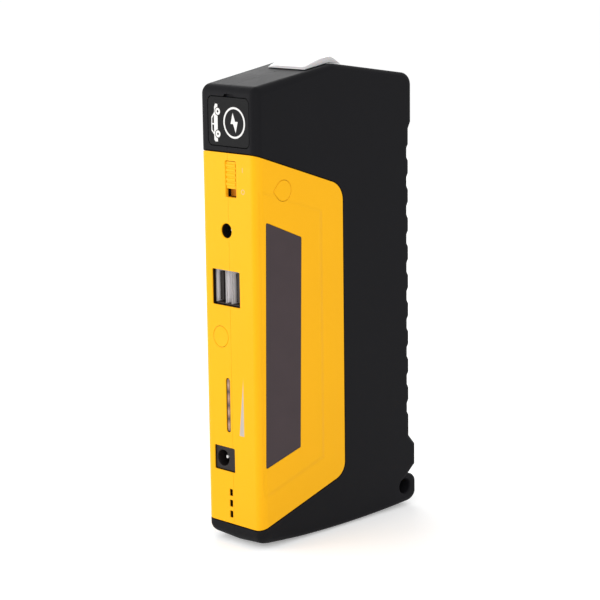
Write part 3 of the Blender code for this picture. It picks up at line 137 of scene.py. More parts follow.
class PanelSizes(bpy.types.PropertyGroup):
    """Sizes of the yellow panels and what lies in them."""

    thickness: length("Thickness", "Thickness of the panels", 1.4 * MM)
    top_slope: slope("Top slope", "Slope of the panel's upper side", 18.8)
    bottom_slope: slope("Bottom slope", "Slope of the panel's lower side", 17.2)
    top_radius: length("Top radius", "Rounding of the upper corner", 8.0 * MM)
    bottom_radius: length("Bottom radius", "Rounding of the lower corner", 6.5 * MM)
    border: length("Border", "Width of the soft border inside the panel's edge", 12.0 * MM)
    plate_corner: length("Plate corner", "Corners of the rating plate", 0.5 * MM)
    plate_width: length("Plate width", "Width of the rating plate", 18.0 * MM)
    plate_top_slope: slope("Plate top slope", "Slope of the plate's upper end", 22.7)
    plate_low_slope: slope("Plate bottom slope", "Slope of the plate's lower end", 15.6)
    slot_height: length("Slot height", "Height of one sound slot", 2.7 * MM)
    slot_width: length("Slot width", "Width of one sound slot", 1.7 * MM)
    slot_pitch: length("Slot pitch", "Distance between the sound slots", 4.27 * MM)
    slot_low: length("Lowest slot", "Height of the lowest slot's lower end", 10.0 * MM)
    slot_y: length("Slot place", "Place of the sound slots across the face", 1.5 * MM)
    clearance: length("Clearance", "Room round a socket in its opening", 0.2 * MM)


class TorchSizes(bpy.types.PropertyGroup):
    """Sizes of the torch lens on the roof."""

    crest: length("Crest", "Height of the lens over the ridge", 2.1 * MM)
    edge: length("Low edge", "Height of the lens at its low ends", 0.7 * MM)
    wall: length("Wall", "Thickness of the lens", 1.2 * MM)
    lip: length("Lip", "Width of the rim that rests on the roof", 1.9 * MM)
    rounding: length("Rounding", "Rounding of the lens at its low ends", 0.9 * MM)
    front_round: length("Front rounding", "Rounding of the lens along its front", 2.0 * MM)
    back_round: length("Back rounding", "Rounding of the lens along its back", 5.0 * MM)
    back_cut: length("Back cut", "Taken off the back border at the low end", 3.8 * MM)


class PackColours(bpy.types.PropertyGroup):
    """Colours of the finishes, as linear values."""

    black: colour("Black plastic", "Case and grip", (0.0085, 0.0084, 0.0098))
    yellow: colour("Yellow plastic", "Panels, cap, button and knob", (0.93, 0.45, 0.008))
    plate: colour("Plate", "Ground of the rating plate", (0.050, 0.035, 0.039))
    rubber: colour("Rubber", "Cover of the engine socket", (0.012, 0.012, 0.0125))
    print_white: colour("White print", "Signs on the cover", (0.80, 0.79, 0.77))
    print_grey: colour("Grey print", "Signs on the panels", (0.45, 0.44, 0.43))
    amber: colour("Amber", "Window over the level lights", (0.14, 0.042, 0.012))
    lens: colour("Lens", "Frosted torch lens", (0.53, 0.515, 0.52))


class StageSettings(bpy.types.PropertyGroup):
    """Light, floor and camera."""

    key: amount("Key light", "Power of the lamp on the socket side", 5.4)
    fill: amount("Fill light", "Power of the lamp on the plate side", 2.5)
    rim: amount("Rim light", "Power of the lamp beyond the roof", 2.8)
    ambient: amount("Ambient", "Strength of the room's light", 0.8)
    focal: number("Focal length", "The camera's focal length", 123.06, unit="CAMERA")
    camera_place: bpy.props.FloatVectorProperty(
        name="Camera place", description="Where the camera stands", default=(-0.551085, -0.55133, 0.24137),
        size=3, unit="LENGTH", subtype="TRANSLATION",
    )
    camera_turn: slope("Camera turn", "Direction of view, from +Y towards +X", 44.634)
    camera_drop: slope("Camera drop", "How far the camera looks down", 11.11)
    camera_roll: slope("Camera roll", "Turn of the camera about its own line of view", -0.72)


# Surfaces, worked out as whole arrays


def unit_rows(rows):
    """Each row divided by its own length."""
    return rows / np.maximum(np.linalg.norm(rows, axis=-1, keepdims=True), 1e-12)


def rounded(corners, steps=10):
    """Outline through corners (u, v, radius, ...). At each corner with a radius r and half angle h the arc's
    centre lies r / sin h along the bisector, and the arc runs from r / tan h before to r / tan h after it."""
    corners = np.asarray(corners, float)
    here = corners[:, :2]
    before = unit_rows(np.roll(here, 1, axis=0) - here)
    after = unit_rows(np.roll(here, -1, axis=0) - here)
    half = np.arccos(np.clip((before * after).sum(axis=1), -1.0, 1.0)) / 2
    radius = np.where(half > math.radians(89.5), 0.0, corners[:, 2])[:, None]
    centre = here + unit_rows(before + after) * radius / np.sin(half)[:, None]
    start = here + before * radius / np.tan(half)[:, None] - centre
    end = here + after * radius / np.tan(half)[:, None] - centre
    first = np.arctan2(start[:, 1], start[:, 0])
    sweep = np.arctan2(end[:, 1], end[:, 0]) - first
    sweep -= 2 * math.pi * np.round(sweep / (2 * math.pi))
    share = np.linspace(0.0, 1.0, steps + 1)
    turn = first[:, None] + sweep[:, None] * share
    arc = centre[:, None] + radius[..., None] * np.stack([np.cos(turn), np.sin(turn)], axis=-1)
    rest = np.repeat(corners[:, None, 3:], steps + 1, axis=1)
    return np.concatenate([arc, rest], axis=-1)[(radius > 0) | (share == 0)]


def mitres(outline):
    """For each spot of a closed anticlockwise outline, the step that moves both its sides out by one:
    the sum of the two side normals over one plus their product."""
    here = np.asarray(outline, float)[:, :2]
    arriving = unit_rows(here - np.roll(here, 1, axis=0))
    leaving = np.roll(arriving, -1, axis=0)
    first = np.stack([arriving[:, 1], -arriving[:, 0]], axis=-1)
    second = np.stack([leaving[:, 1], -leaving[:, 0]], axis=-1)
    return (first + second) / (1 + (first * second).sum(axis=1))[:, None]


def grown(corners, grow):
    """Corners with every side moved out, and the round ones' radii increased to match."""
    made = np.array(corners, float)
    made[:, :2] += grow * mitres(made)
    made[:, 2] = np.where(made[:, 2] > 0, np.maximum(made[:, 2] + grow, 0.0), 0.0)
    return made


def rectangle(u, v, width, height, radius, steps=6):
    """Outline of a round-cornered rectangle about its middle."""
    signs = np.array([(-1, -1), (1, -1), (1, 1), (-1, 1)], float)
    spots = (u, v) + signs * (width / 2, height / 2)
    return rounded(np.column_stack([spots, np.full(4, radius)]), steps)


def circle(u, v, radius, sides=48):
    """Outline of a circle: the middle plus the radius times cosine and sine of equal turns."""
    turn = np.arange(sides) * 2 * math.pi / sides
    return np.column_stack([u + radius * np.cos(turn), v + radius * np.sin(turn)])


def facing_out(points, quads, caps):
    """The skin with its faces turned so that its signed volume, a sum of triple products, is positive."""
    fans = [np.column_stack([np.full(len(cap) - 2, cap[0]), cap[1:-1], cap[2:]]) for cap in caps]
    triangles = np.concatenate([quads[:, [0, 1, 2]], quads[:, [0, 2, 3]], *fans])
    a, b, c = (points[triangles[:, column]] for column in range(3))
    if (a * np.cross(b, c)).sum() < 0:
        return points, quads[:, ::-1], [cap[::-1] for cap in caps]
    return points, quads, caps


def loft(rings):
    """Closed skin through rings of equally many points, with a face over each end."""
    rings = np.asarray(rings, float)
    rows, count = rings.shape[:2]
    index = np.arange(rows * count).reshape(rows, count)
    after = np.roll(index, -1, axis=1)
    quads = np.stack([index[:-1], after[:-1], after[1:], index[1:]], axis=-1).reshape(-1, 4)
    return facing_out(rings.reshape(-1, 3), quads, [index[0][::-1], index[-1]])


def placed(axis, along, outline):
    """Rings of an outline at places along an axis, the outline's pair being the other two axes in order."""
    outline = np.asarray(outline, float)[..., :2]
    along = np.broadcast_to(np.asarray(along, float)[..., None], outline.shape[:-1])
    first, second = outline[..., 0], outline[..., 1]
    columns = {"x": (along, first, second), "y": (first, along, second), "z": (first, second, along)}
    return np.stack(columns[axis], axis=-1)


def prism(outline, axis, low_end, high_end):
    """Block of an outline between two places along an axis."""
    return loft(placed(axis, [low_end, high_end], np.stack([outline, outline])))


def box(xs, ys, zs):
    """Block between two places along each axis."""
    outline = np.array([(xs[0], ys[0]), (xs[1], ys[0]), (xs[1], ys[1]), (xs[0], ys[1])])
    return prism(outline, "z", *zs)


def turned(axis, centre, profile, sides):
    """Round skin about an axis: at each (place, radius) of the profile a circle of that radius."""
    profile = np.asarray(profile, float)
    rings = np.asarray(centre) + profile[:, 1, None, None] * circle(0.0, 0.0, 1.0, sides)
    return loft(placed(axis, profile[:, 0], rings))


def swept(outline, axis, places, growth):
    """Skin with the outline at each place along the axis, its sides moved out there by the growth."""
    outline = np.asarray(outline, float)[:, :2]
    return loft(placed(axis, places, outline + growth[:, None, None] * mitres(outline)))


def rim_profile(radius, steps=5):
    """Depth r (1 - cos t) and growth r (1 - sin t) down a rounded rim, for t from 0 to a right angle."""
    turn = np.linspace(0.0, math.pi / 2, steps + 1)
    return radius * (1 - np.cos(turn)), radius * (1 - np.sin(turn))


def flared(outline, axis, face, depth, radius):
    """Cutter whose mouth opens in a quarter round at the face and then runs straight in by the depth."""
    down, out = rim_profile(radius)
    places = np.concatenate([[face - BEYOND], face + down, [face + depth]])
    return swept(outline, axis, places, np.concatenate([[radius], out, [0.0]]))


def pill(outline, axis, start, end, radius):
    """Block of an outline between two faces, with quarter-round edges: at d from where an edge starts the
    outline is moved in by r - sqrt(r^2 - d^2)."""
    down = rim_profile(radius)[0]
    places = np.concatenate([start + (radius - down[::-1]), end - (radius - down)])
    shrink = radius - np.sqrt(np.maximum(radius**2 - down**2, 0.0))
    return swept(outline, axis, places, -np.concatenate([shrink[::-1], shrink]))


def closed_sheet(top, bottom):
    """Closed skin from two grids of equal shape, the upper and the lower side, joined along the border."""
    rows, columns = top.shape[:2]
    under = rows * columns
    index = np.arange(under).reshape(rows, columns)
    sheet = np.stack([index[:-1, :-1], index[1:, :-1], index[1:, 1:], index[:-1, 1:]], axis=-1).reshape(-1, 4)
    edge = np.concatenate([index[0, :-1], index[:-1, -1], index[-1, :0:-1], index[:0:-1, 0]])
    after = np.roll(edge, -1)
    strip = np.stack([edge, after, after + under, edge + under], axis=-1)
    quads = np.concatenate([sheet, sheet[:, ::-1] + under, strip])
    return facing_out(np.concatenate([top.reshape(-1, 3), bottom.reshape(-1, 3)]), quads, [])


def mesh_of(name, skins):
    """A mesh from closed skins, each written as one array of points and one of corners."""
    points, corners, sizes, shift = [], [], [], 0
    for spots, quads, caps in skins:
        points.append(spots)
        corners += [quads.ravel() + shift, *(cap + shift for cap in caps)]
        sizes += [np.full(len(quads), 4), *(np.array([len(cap)]) for cap in caps)]
        shift += len(spots)
    points, corners, sizes = np.concatenate(points), np.concatenate(corners), np.concatenate(sizes)
    mesh = bpy.data.meshes.new(name)
    mesh.vertices.add(len(points))
    mesh.vertices.foreach_set("co", points.astype(np.float32).ravel())
    mesh.loops.add(len(corners))
    mesh.loops.foreach_set("vertex_index", corners.astype(np.int32))
    mesh.polygons.add(len(sizes))
    mesh.polygons.foreach_set("loop_start", (np.cumsum(sizes) - sizes).astype(np.int32))
    mesh.update(calc_edges=True)
    return mesh


def piece_of(name, skins):
    made = bpy.data.objects.new(name, mesh_of(name, skins))
    bpy.context.scene.collection.objects.link(made)
    return made


def settle(piece):
    """Puts what the piece's modifiers make into its own mesh."""
    graph = bpy.context.evaluated_depsgraph_get()
    made = bpy.data.meshes.new_from_object(piece.evaluated_get(graph))
    old = piece.data
    piece.modifiers.clear()
    piece.data = made
    made.name = piece.name
    bpy.data.meshes.remove(old)


def carve(piece, steps):
    """Runs steps on a piece: ("DIFFERENCE", "UNION" or "INTERSECT", skins or an object to use up) or
    ("BEVEL", width)."""
    tools = []
    for number, (operation, what) in enumerate(steps):
        if operation == "BEVEL":
            rim = piece.modifiers.new(f"rim_{number}", "BEVEL")
            rim.width = what
            rim.segments = 3
            rim.limit_method = "ANGLE"
            rim.angle_limit = SHARP
            rim.use_clamp_overlap = False
            rim.miter_outer = "MITER_SHARP"
            continue
        tool = piece_of(f"tool_{piece.name}_{number}", what) if isinstance(what, list) else what
        tools.append(tool)
        boolean = piece.modifiers.new(f"step_{number}", "BOOLEAN")
        boolean.operation = operation
        boolean.solver = "EXACT"
        boolean.object = tool
    settle(piece)
    for tool in tools:
        mesh = tool.data
        bpy.data.objects.remove(tool)
        bpy.data.meshes.remove(mesh)


def finished(piece, finish, body, node):
    """Smooths the piece, gives it its finish, ties it to its body and hides the node that it stands for."""
    piece.data.shade_smooth()
    piece.data.set_sharp_from_angle(angle=SHARP)
    normals = piece.modifiers.new("normals", "WEIGHTED_NORMAL")
    normals.keep_sharp = True
    normals.weight = 60
    piece.data.materials.clear()
    piece.data.materials.append(finish)
    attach(piece, body)
    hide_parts(node)


# The case


def ridge_x(case):
    """Where the roof's ridge lies."""
    return SOCKET_X + case.ridge_from_sockets


def roof_z(case, x):
    """Height of the roof over one place, or over an array of them."""
    from_ridge = abs(x - SOCKET_X - case.ridge_from_sockets)
    return case.roof_low + math.tan(case.roof_slope) * (case.ridge_from_sockets - from_ridge)


def keel_z(case, x):
    """Height of the floor's arc, x^2 / 2r, let down by what the foot loses."""
    return x * x / (2 * case.keel_radius) - case.foot_cut


GRIP_STEPS = np.array([  # out from the crest, height, shoulder radius: boss, notch and bump under the grooves
    (3.65, 12.5, 3.2), (-0.6, 13.1, 0.0), (3.5, 16.1, 0.0), (3.5, 25.3, 0.0), (0.0, 29.3, 0.0),
]) * MM
BLOCK_OUT = 1.35 * MM  # the plain block over the grooves
BLOCK_HEIGHT = 19.0 * MM
BLOCK_CHAMFER = 2.6 * MM
GROOVE_FLOOR = 3.0 * MM
GROOVE_FLANK = 1.5 * MM
TAPER_STEPS = 5
KEEL_FACETS = 16
KEEL_SLOPE = 0.065
LEAST_EDGE = 0.3 * MM


def groove_corners(case, grip_x, top):
    """The grip's grooves from the lowest one up to the block, with four corners each."""
    count = int((top - case.groove_first - case.groove_pitch / 2) / case.groove_pitch) + 1
    centres = case.groove_first + case.groove_pitch * np.arange(count)
    inner, outer = GROOVE_FLOOR / 2, GROOVE_FLOOR / 2 + GROOVE_FLANK
    heights = (centres[:, None] + np.array([-outer, -inner, inner, outer])).ravel()
    outs = np.tile(grip_x - np.array([0.0, 1.0, 1.0, 0.0]) * case.groove_depth, count)
    return np.column_stack([outs, heights, np.zeros(4 * count)])


def case_corners(case, grooved):
    """Corners round the case, seen from the wide side: x, z, their radius, and the radius of the edge to the
    wide faces. The edge is round along the socket face and tapers away over the floor and the roof."""
    grip_x = SOCKET_X + case.crest
    block_x = grip_x + BLOCK_OUT
    block_z = roof_z(case, block_x) - BLOCK_HEIGHT
    keel = np.linspace(SOCKET_X, FAR_X, KEEL_FACETS + 1)
    radii = np.zeros(KEEL_FACETS + 1)
    radii[0], radii[-1] = case.floor_corner, case.grip_corner
    rows = [np.column_stack([keel, keel_z(case, keel), radii]), GRIP_STEPS + (grip_x, 0.0, 0.0)]
    if grooved:
        rows.append(groove_corners(case, grip_x, block_z - BLOCK_CHAMFER))
    rows.append(np.array([
        (grip_x, block_z - BLOCK_CHAMFER, 0.0),
        (block_x, block_z, 0.0),
        (block_x, roof_z(case, block_x), case.grip_corner),
        (ridge_x(case), roof_z(case, ridge_x(case)), case.ridge_radius),
        (SOCKET_X, case.roof_low, case.roof_corner),
    ]))
    plain = np.concatenate(rows)
    edges = np.full(len(plain), case.edge)
    edges[:TAPER_STEPS] = np.linspace(case.low_edge, case.edge, TAPER_STEPS)
    edges[-1] = case.socket_edge
    return np.column_stack([plain, edges])


def slab(corners, half_depth, keel_slope=0.0, edge_steps=12, corner_steps=12):
    """Skin with the corners' outline and a quarter-round edge to each wide face: at turn t the outline is
    moved in by r (1 - cos t) and lies r (1 - sin t) below the face. The floor rises by its slope times the
    distance from the middle."""
    outline = rounded(corners, corner_steps)
    steps = mitres(outline)
    edge = outline[:, 2]
    turn = np.linspace(0.0, math.pi / 2, edge_steps + 1)
    side = np.concatenate([np.full(edge_steps + 1, -1.0), [0.0], np.full(edge_steps + 1, 1.0)])
    turn = np.concatenate([turn[::-1], [0.0], turn])
    y = side[:, None] * (half_depth - edge * (1 - np.sin(turn))[:, None])
    inset = np.abs(side)[:, None] * edge * (1 - np.cos(turn))[:, None]
    lift = keel_slope * np.abs(y) * np.clip(-steps[:, 1], 0.0, 1.0)
    x, z = outline[:, 0] - inset * steps[:, 0], outline[:, 1] - inset * steps[:, 1] + lift
    return loft(np.stack([x, y, z], axis=-1))


def case_slab(case, inset, grooved):
    """The case's outer shape, with all its faces moved in by the inset."""
    corners = grown(case_corners(case, grooved), -inset)
    corners[:, 3] = np.maximum(corners[:, 3] - inset, LEAST_EDGE)
    return slab(corners, HALF_DEPTH - inset, KEEL_SLOPE)


def cavity_skin(case):
    """The room inside the shells, which leaves a solid corner round the lanyard hole."""
    corner, edge = 1.5 * MM, 0.6 * MM
    lanyard_wall = 2.2 * MM
    left = SOCKET_X + case.wall
    right = SOCKET_X + case.crest - case.groove_depth - case.wall
    boss_left = FAR_X - case.lanyard_inset - case.lanyard_bore / 2 - lanyard_wall
    boss_top = case.lanyard_height + case.lanyard_bore / 2 + lanyard_wall
    ridge = ridge_x(case)
    return slab(np.array([
        (left, case.floor_wall, corner, edge),
        (boss_left, case.floor_wall, corner, edge),
        (boss_left, boss_top, 0.0, edge),
        (right, boss_top, corner, edge),
        (right, roof_z(case, right) - case.wall, 2 * corner, edge),
        (ridge, roof_z(case, ridge) - case.wall, 0.0, edge),
        (left, roof_z(case, left) - case.wall, corner, edge),
    ]), HALF_DEPTH - case.wall, edge_steps=4, corner_steps=4)


PILLAR_RADIUS = 3.7 * MM
PILLAR_SHORT = 1.2 * MM  # how far a pillar's end stays below the panel
POST_RADIUS = 2.5 * MM
HANGER_HALF = 2.0 * MM  # the torch board's blocks: half their length, place inside the lens, thickness
HANGER_INSET = 1.3 * MM
HANGER_THICKNESS = 1.4 * MM
SCREW_RADIUS = 1.2 * MM
SCREW_HEAD = 1.6 * MM
SCREW_END = 9.0 * MM  # how far a bore runs past the seam


def screw_sites():
    """Each case screw's x and z, the side that it enters from, where its head ends, and the head's radius."""
    sites = []
    for number in range(1, 6):
        node = f"case_screw_{number}"
        spot = middle(node)
        head = max(low(node).y, high(node).y, key=abs)
        sites.append((spot.x, spot.z, math.copysign(1.0, head), head, extent(node).x / 2))
    return sites


def pillar_skins(case, panel):
    """Pillars for the case screws, posts for the control board, and the blocks that hold the torch board."""
    reach = HALF_DEPTH - PILLAR_SHORT - panel.thickness
    skins = [prism(circle(x, z, PILLAR_RADIUS, 24), "y", -reach, reach) for x, z, *_ in screw_sites()]
    post_ends = (case.wall / 2 - HALF_DEPTH, low("control_board").y - case.gap)
    for spot in (middle("board_screw_1"), middle("board_screw_2")):
        skins.append(prism(circle(spot.x, spot.z, POST_RADIUS, 16), "y", *post_ends))
    lens = middle("torch_led_1").x
    heights = (high("torch_board").z + case.gap, roof_z(case, lens - HANGER_HALF) - case.wall / 2)
    inner = extent("torch_lens").y / 2 - HANGER_INSET
    for side in (-1, 1):
        ends = sorted((side * inner, side * (inner + HANGER_THICKNESS)))
        skins.append(box((lens - HANGER_HALF, lens + HANGER_HALF), ends, heights))
    return skins


def bore_skins(case):
    """Screw bores with their sunk heads, and the bores in the board's posts."""
    skins = []
    narrow = SCREW_RADIUS + case.gap
    down, out = rim_profile(case.rim)
    for x, z, side, head, radius in screw_sites():
        wide = radius + case.gap
        seat = head - side * (SCREW_HEAD + case.gap)
        face = side * HALF_DEPTH
        profile = [(face + side * BEYOND, wide + case.rim)]
        profile += [(face - side * d, wide + o) for d, o in zip(down, out)]
        profile += [(seat, wide), (seat, narrow), (-side * SCREW_END, narrow)]
        skins.append(turned("y", (x, z), profile, 36))
    for node in ("board_screw_1", "board_screw_2"):
        spot = middle(node)
        ends = (low(node).y - MM, low("control_board").y + 3 * MM)
        skins.append(prism(circle(spot.x, spot.z, narrow, 16), "y", *ends))
    return skins


def panel_outline(panel, grow):
    """Where the yellow panel lies, seen from the wide side, with its sides moved out by grow."""
    lowest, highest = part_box("front_panel")
    right = highest.x
    far = SOCKET_X - BEYOND
    reach = right - SOCKET_X
    corners = np.array([
        (far, lowest.z, 0.0),
        (SOCKET_X, lowest.z, 0.0),
        (right, lowest.z + math.tan(panel.bottom_slope) * reach, panel.bottom_radius),
        (right, highest.z - math.tan(panel.top_slope) * reach, panel.top_radius),
        (SOCKET_X, highest.z, 0.0),
        (far, highest.z, 0.0),
    ])
    return rounded(grown(corners, grow), 14)


WALL_BEYOND = 1.2 * MM  # how far an opening runs past the wall
SLOT_CORNER = 0.3 * MM
SOCKET_CORNER = 0.5 * MM
SWITCH_CORNER = 0.4 * MM
COVER_BED_CORNER = 2.3 * MM
WINDOW_BED_ROUND = 0.49  # corner radius by width
BUTTON_RADIUS = 4.0 * MM
BUTTON_ROOM = 0.12 * MM
OUTLET_RADIUS = 2.75 * MM
OUTLET_RIM = 0.45 * MM
NOTCH_WIDTH, NOTCH_HEIGHT, NOTCH_DEPTH = 7.0 * MM, 1.3 * MM, 1.1 * MM
NOTCH_SHIFT = 0.45 * MM
LANYARD_RIM = 0.8 * MM


def socket_outline(node, radius, room=0.0, steps=6):
    """Outline of a node as the socket side shows it, with room added to its width and its height."""
    spot, size = middle(node), extent(node)
    return rectangle(spot.y, spot.z, size.y + room, size.z + room, radius, steps)


def socket_openings(case, panel):
    """What is cut through the socket wall: each opening is a socket's outline with some clearance."""
    button, outlet = middle("power_button"), middle("outlet_pin")
    switch_width, switch_height = extent("switch_knob").y + 2 * case.gap, extent("switch_body").z
    window_corner = (extent("light_window").y + panel.clearance) * WINDOW_BED_ROUND
    slots = [panel.slot_low + panel.slot_height / 2 + step * panel.slot_pitch for step in range(3)]
    slot_sizes = (panel.slot_width, panel.slot_height, SLOT_CORNER)
    switch = (middle("switch_knob").y, middle("switch_body").z, switch_width, switch_height, SWITCH_CORNER)
    cuts = [(rectangle(panel.slot_y, z, *slot_sizes), case.rim) for z in slots]
    cuts += [
        (socket_outline("inlet_jack", SOCKET_CORNER, 2 * panel.clearance), case.rim),
        (socket_outline("light_window", window_corner, panel.clearance, 12), case.rim),
        (socket_outline("usb_shell", SOCKET_CORNER, 2 * panel.clearance), case.rim),
        (rectangle(*switch), case.rim),
        (socket_outline("socket_cover", COVER_BED_CORNER, 2 * case.gap, 10), case.rim),
        (circle(button.y, button.z, BUTTON_RADIUS + BUTTON_ROOM, 72), BUTTON_ROOM),
        (circle(outlet.y, outlet.z, OUTLET_RADIUS, 48), OUTLET_RIM),
    ]
    return [flared(outline, "x", SOCKET_X, case.wall + WALL_BEYOND, rim) for outline, rim in cuts]


def nail_notch(case):
    """A shallow nick above the cover, for a fingernail, which narrows towards its top."""
    cover = middle("socket_cover")
    base = cover.z + extent("socket_cover").z / 2 - case.gap
    top = base + case.gap + NOTCH_HEIGHT
    y = cover.y - NOTCH_SHIFT
    outline = rounded(np.array([
        (y - NOTCH_WIDTH / 2, base, 0.0), (y + NOTCH_WIDTH / 2, base, 0.0),
        (y + NOTCH_WIDTH / 3, top, SOCKET_CORNER), (y - NOTCH_WIDTH / 3, top, SOCKET_CORNER),
    ]), 5)
    return prism(outline, "x", SOCKET_X - BEYOND, SOCKET_X + NOTCH_DEPTH)


def lanyard_skin(case):
    """The lanyard bore: a round tool with a quarter-round mouth on both wide faces."""
    radius = case.lanyard_bore / 2
    down, out = rim_profile(LANYARD_RIM, 8)
    mouth = [(down[i] - HALF_DEPTH, radius + out[i]) for i in range(len(down))]
    profile = [(-HALF_DEPTH - BEYOND, radius + LANYARD_RIM), *mouth]
    profile += [(-place, wide) for place, wide in reversed(profile)]
    return turned("y", (FAR_X - case.lanyard_inset, case.lanyard_height), profile, 56)


def torch_opening(case, torch):
    """The hole in the roof under the lens, which leaves its rim something to rest on."""
    lowest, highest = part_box("torch_lens")
    left, right = lowest.x + torch.lip, highest.x - torch.lip
    front, back = lowest.y + torch.lip, highest.y - torch.lip
    outline = np.array([
        (left, front), (right, front), (right, back), (ridge_x(case), back), (left, back - torch.back_cut),
    ])
    return prism(outline, "z", high("torch_board").z + 2 * MM, highest.z + BEYOND)


def half_space(case, side):
    """Everything on one side of the seam, short of it by half the seam."""
    xs = (SOCKET_X - 2 * BEYOND, FAR_X + 2 * BEYOND)
    ys = sorted((side * case.seam / 2, side * (HALF_DEPTH + BEYOND)))
    return box(xs, ys, (-2 * BEYOND, high("torch_lens").z + BEYOND))


class PACK_OT_case(bpy.types.Operator):
    """Builds the two black half shells with the panels' beds, the pillars and every opening."""

    bl_idname = "starter_pack.case"
    bl_label = "Case"

    def execute(self, context):
        case, panel, colours, torch = settings(context)[:4]
        finish = black_plastic("case_black", colours.black)
        bed = piece_of("tool_bed", [prism(panel_outline(panel, case.gap), "y", *THROUGH)])
        carve(bed, [("DIFFERENCE", [case_slab(case, panel.thickness + case.gap, False)])])
        room = piece_of("tool_room", [cavity_skin(case)])
        carve(room, [("DIFFERENCE", pillar_skins(case, panel))])
        front = piece_of("front_case", [case_slab(case, 0.0, True)])
        carve(front, [("DIFFERENCE", bed)])
        carve(front, [("BEVEL", case.rim)])
        carve(front, [("DIFFERENCE", room)])
        below = box((SOCKET_X - BEYOND, FAR_X + BEYOND), THROUGH, (-2 * BEYOND, 0.0))
        carve(front, [("DIFFERENCE", skins) for skins in (
            socket_openings(case, panel), [nail_notch(case)], bore_skins(case), [lanyard_skin(case)],
            [torch_opening(case, torch)], [below],
        )])
        back = bpy.data.objects.new("back_case", front.data.copy())
        context.scene.collection.objects.link(back)
        for shell, node, side in ((front, "front_shell", -1), (back, "back_shell", 1)):
            carve(shell, [("INTERSECT", [half_space(case, side)])])
            finished(shell, finish, "case", node)
        return {"FINISHED"}


# The panels and what lies in them


PANEL_RIM = 0.3 * MM
PLATE_ROOM, PLATE_BED_RIM, PLATE_RIM = 0.12 * MM, 0.08 * MM, 0.08 * MM
CAP_POINT, CAP_ROOM, CAP_RIM = 0.7 * MM, 0.14 * MM, 0.16 * MM


def plate_outline(panel, grow):
    """The rating plate, which leans a little and has sloping ends."""
    lowest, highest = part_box("rating_plate")
    width = panel.plate_width
    corners = np.array([
        (lowest.x, lowest.z, panel.plate_corner),
        (lowest.x + width, lowest.z + math.tan(panel.plate_low_slope) * width, panel.plate_corner),
        (highest.x, highest.z - math.tan(panel.plate_top_slope) * width, panel.plate_corner),
        (highest.x - width, highest.z, panel.plate_corner),
    ])
    return rounded(grown(corners, grow), 6)


def cap_outline(grow):
    """A drop: a circle of radius r drawn out to a rounded point at distance t, tangent where the cosine of
    the turn is r / t."""
    lowest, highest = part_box("screw_cap")
    radius = (highest.z - lowest.z) / 2
    x, z = highest.x - radius, middle("screw_cap").z
    tip = x - lowest.x + grow
    radius += grow
    lean = math.acos(radius / tip)
    turn = np.linspace(lean - math.pi, math.pi - lean, 61)
    arc = np.column_stack([x + radius * np.cos(turn), z + radius * np.sin(turn), np.zeros(61)])
    return rounded(np.vstack([(x - tip, z, CAP_POINT), arc]), 5)


class PACK_OT_panels(bpy.types.Operator):
    """Builds the yellow panels: a skin of the case inside the panel's outline, one each side of the seam."""

    bl_idname = "starter_pack.panels"
    bl_label = "Panels"

    def execute(self, context):
        case, panel, colours = settings(context)[:3]
        plate_depth = extent("rating_plate").y + case.gap
        beds = [
            [flared(plate_outline(panel, PLATE_ROOM), "y", -HALF_DEPTH, plate_depth, PLATE_BED_RIM)],
            [flared(cap_outline(CAP_ROOM), "y", -HALF_DEPTH, case.wall, CAP_ROOM)],
            bore_skins(case),
        ]
        halves = ((-1, "front_yellow", "front_panel", beds), (1, "back_yellow", "back_panel", []))
        for side, name, node, cuts in halves:
            skin = piece_of(name, [case_slab(case, 0.0, False)])
            carve(skin, [
                ("INTERSECT", [prism(panel_outline(panel, 0.0), "y", *THROUGH)]),
                ("DIFFERENCE", [case_slab(case, panel.thickness, False)]),
                ("BEVEL", PANEL_RIM),
                ("INTERSECT", [half_space(case, side)]),
            ])
            carve(skin, [("DIFFERENCE", skins) for skins in (socket_openings(case, panel), *cuts)])
            finish = yellow_plastic(f"{name}_finish", colours, panel, True)
            finished(skin, finish, "case", node)
        return {"FINISHED"}


class PACK_OT_plate(bpy.types.Operator):
    """Builds the bare rating plate and the drop-shaped screw cap."""

    bl_idname = "starter_pack.plate"
    bl_label = "Plate and cap"

    def execute(self, context):
        _case, panel, colours = settings(context)[:3]
        plate_skin = pill(plate_outline(panel, 0.0), "y", -HALF_DEPTH, high("rating_plate").y, PLATE_RIM)
        plate = piece_of("plate_film", [plate_skin])
        finished(plate, plate_film("plate_print", colours.plate), "case", "rating_plate")
        cap = piece_of("drop_cap", [pill(cap_outline(0.0), "y", -HALF_DEPTH, high("screw_cap").y, CAP_RIM)])
        plastic = yellow_plastic("cap_finish", colours, panel, False)
        finished(cap, plastic, "case", "screw_cap")
        return {"FINISHED"}


COVER_CORNER, COVER_WIDER, COVER_RIM = 2.1 * MM, 0.2 * MM, 0.3 * MM


class PACK_OT_cover(bpy.types.Operator):
    """Builds the rubber cover of the engine socket."""

    bl_idname = "starter_pack.cover"
    bl_label = "Socket cover"

    def execute(self, context):
        outline = socket_outline("socket_cover", COVER_CORNER, COVER_WIDER, 10)
        cover = piece_of("cover_flap", [pill(outline, "x", SOCKET_X, high("socket_cover").x, COVER_RIM)])
        rubber = cover_rubber("cover_rubber", settings(context)[2])
        finished(cover, rubber, "cover", "socket_cover")
        return {"FINISHED"}


BUTTON_RIM = 0.18 * MM
BUTTON_DISH = 0.12 * MM
BUTTON_FLANGE = 1.0 * MM  # its width and its thickness
BUTTON_STEM = 1.6 * MM


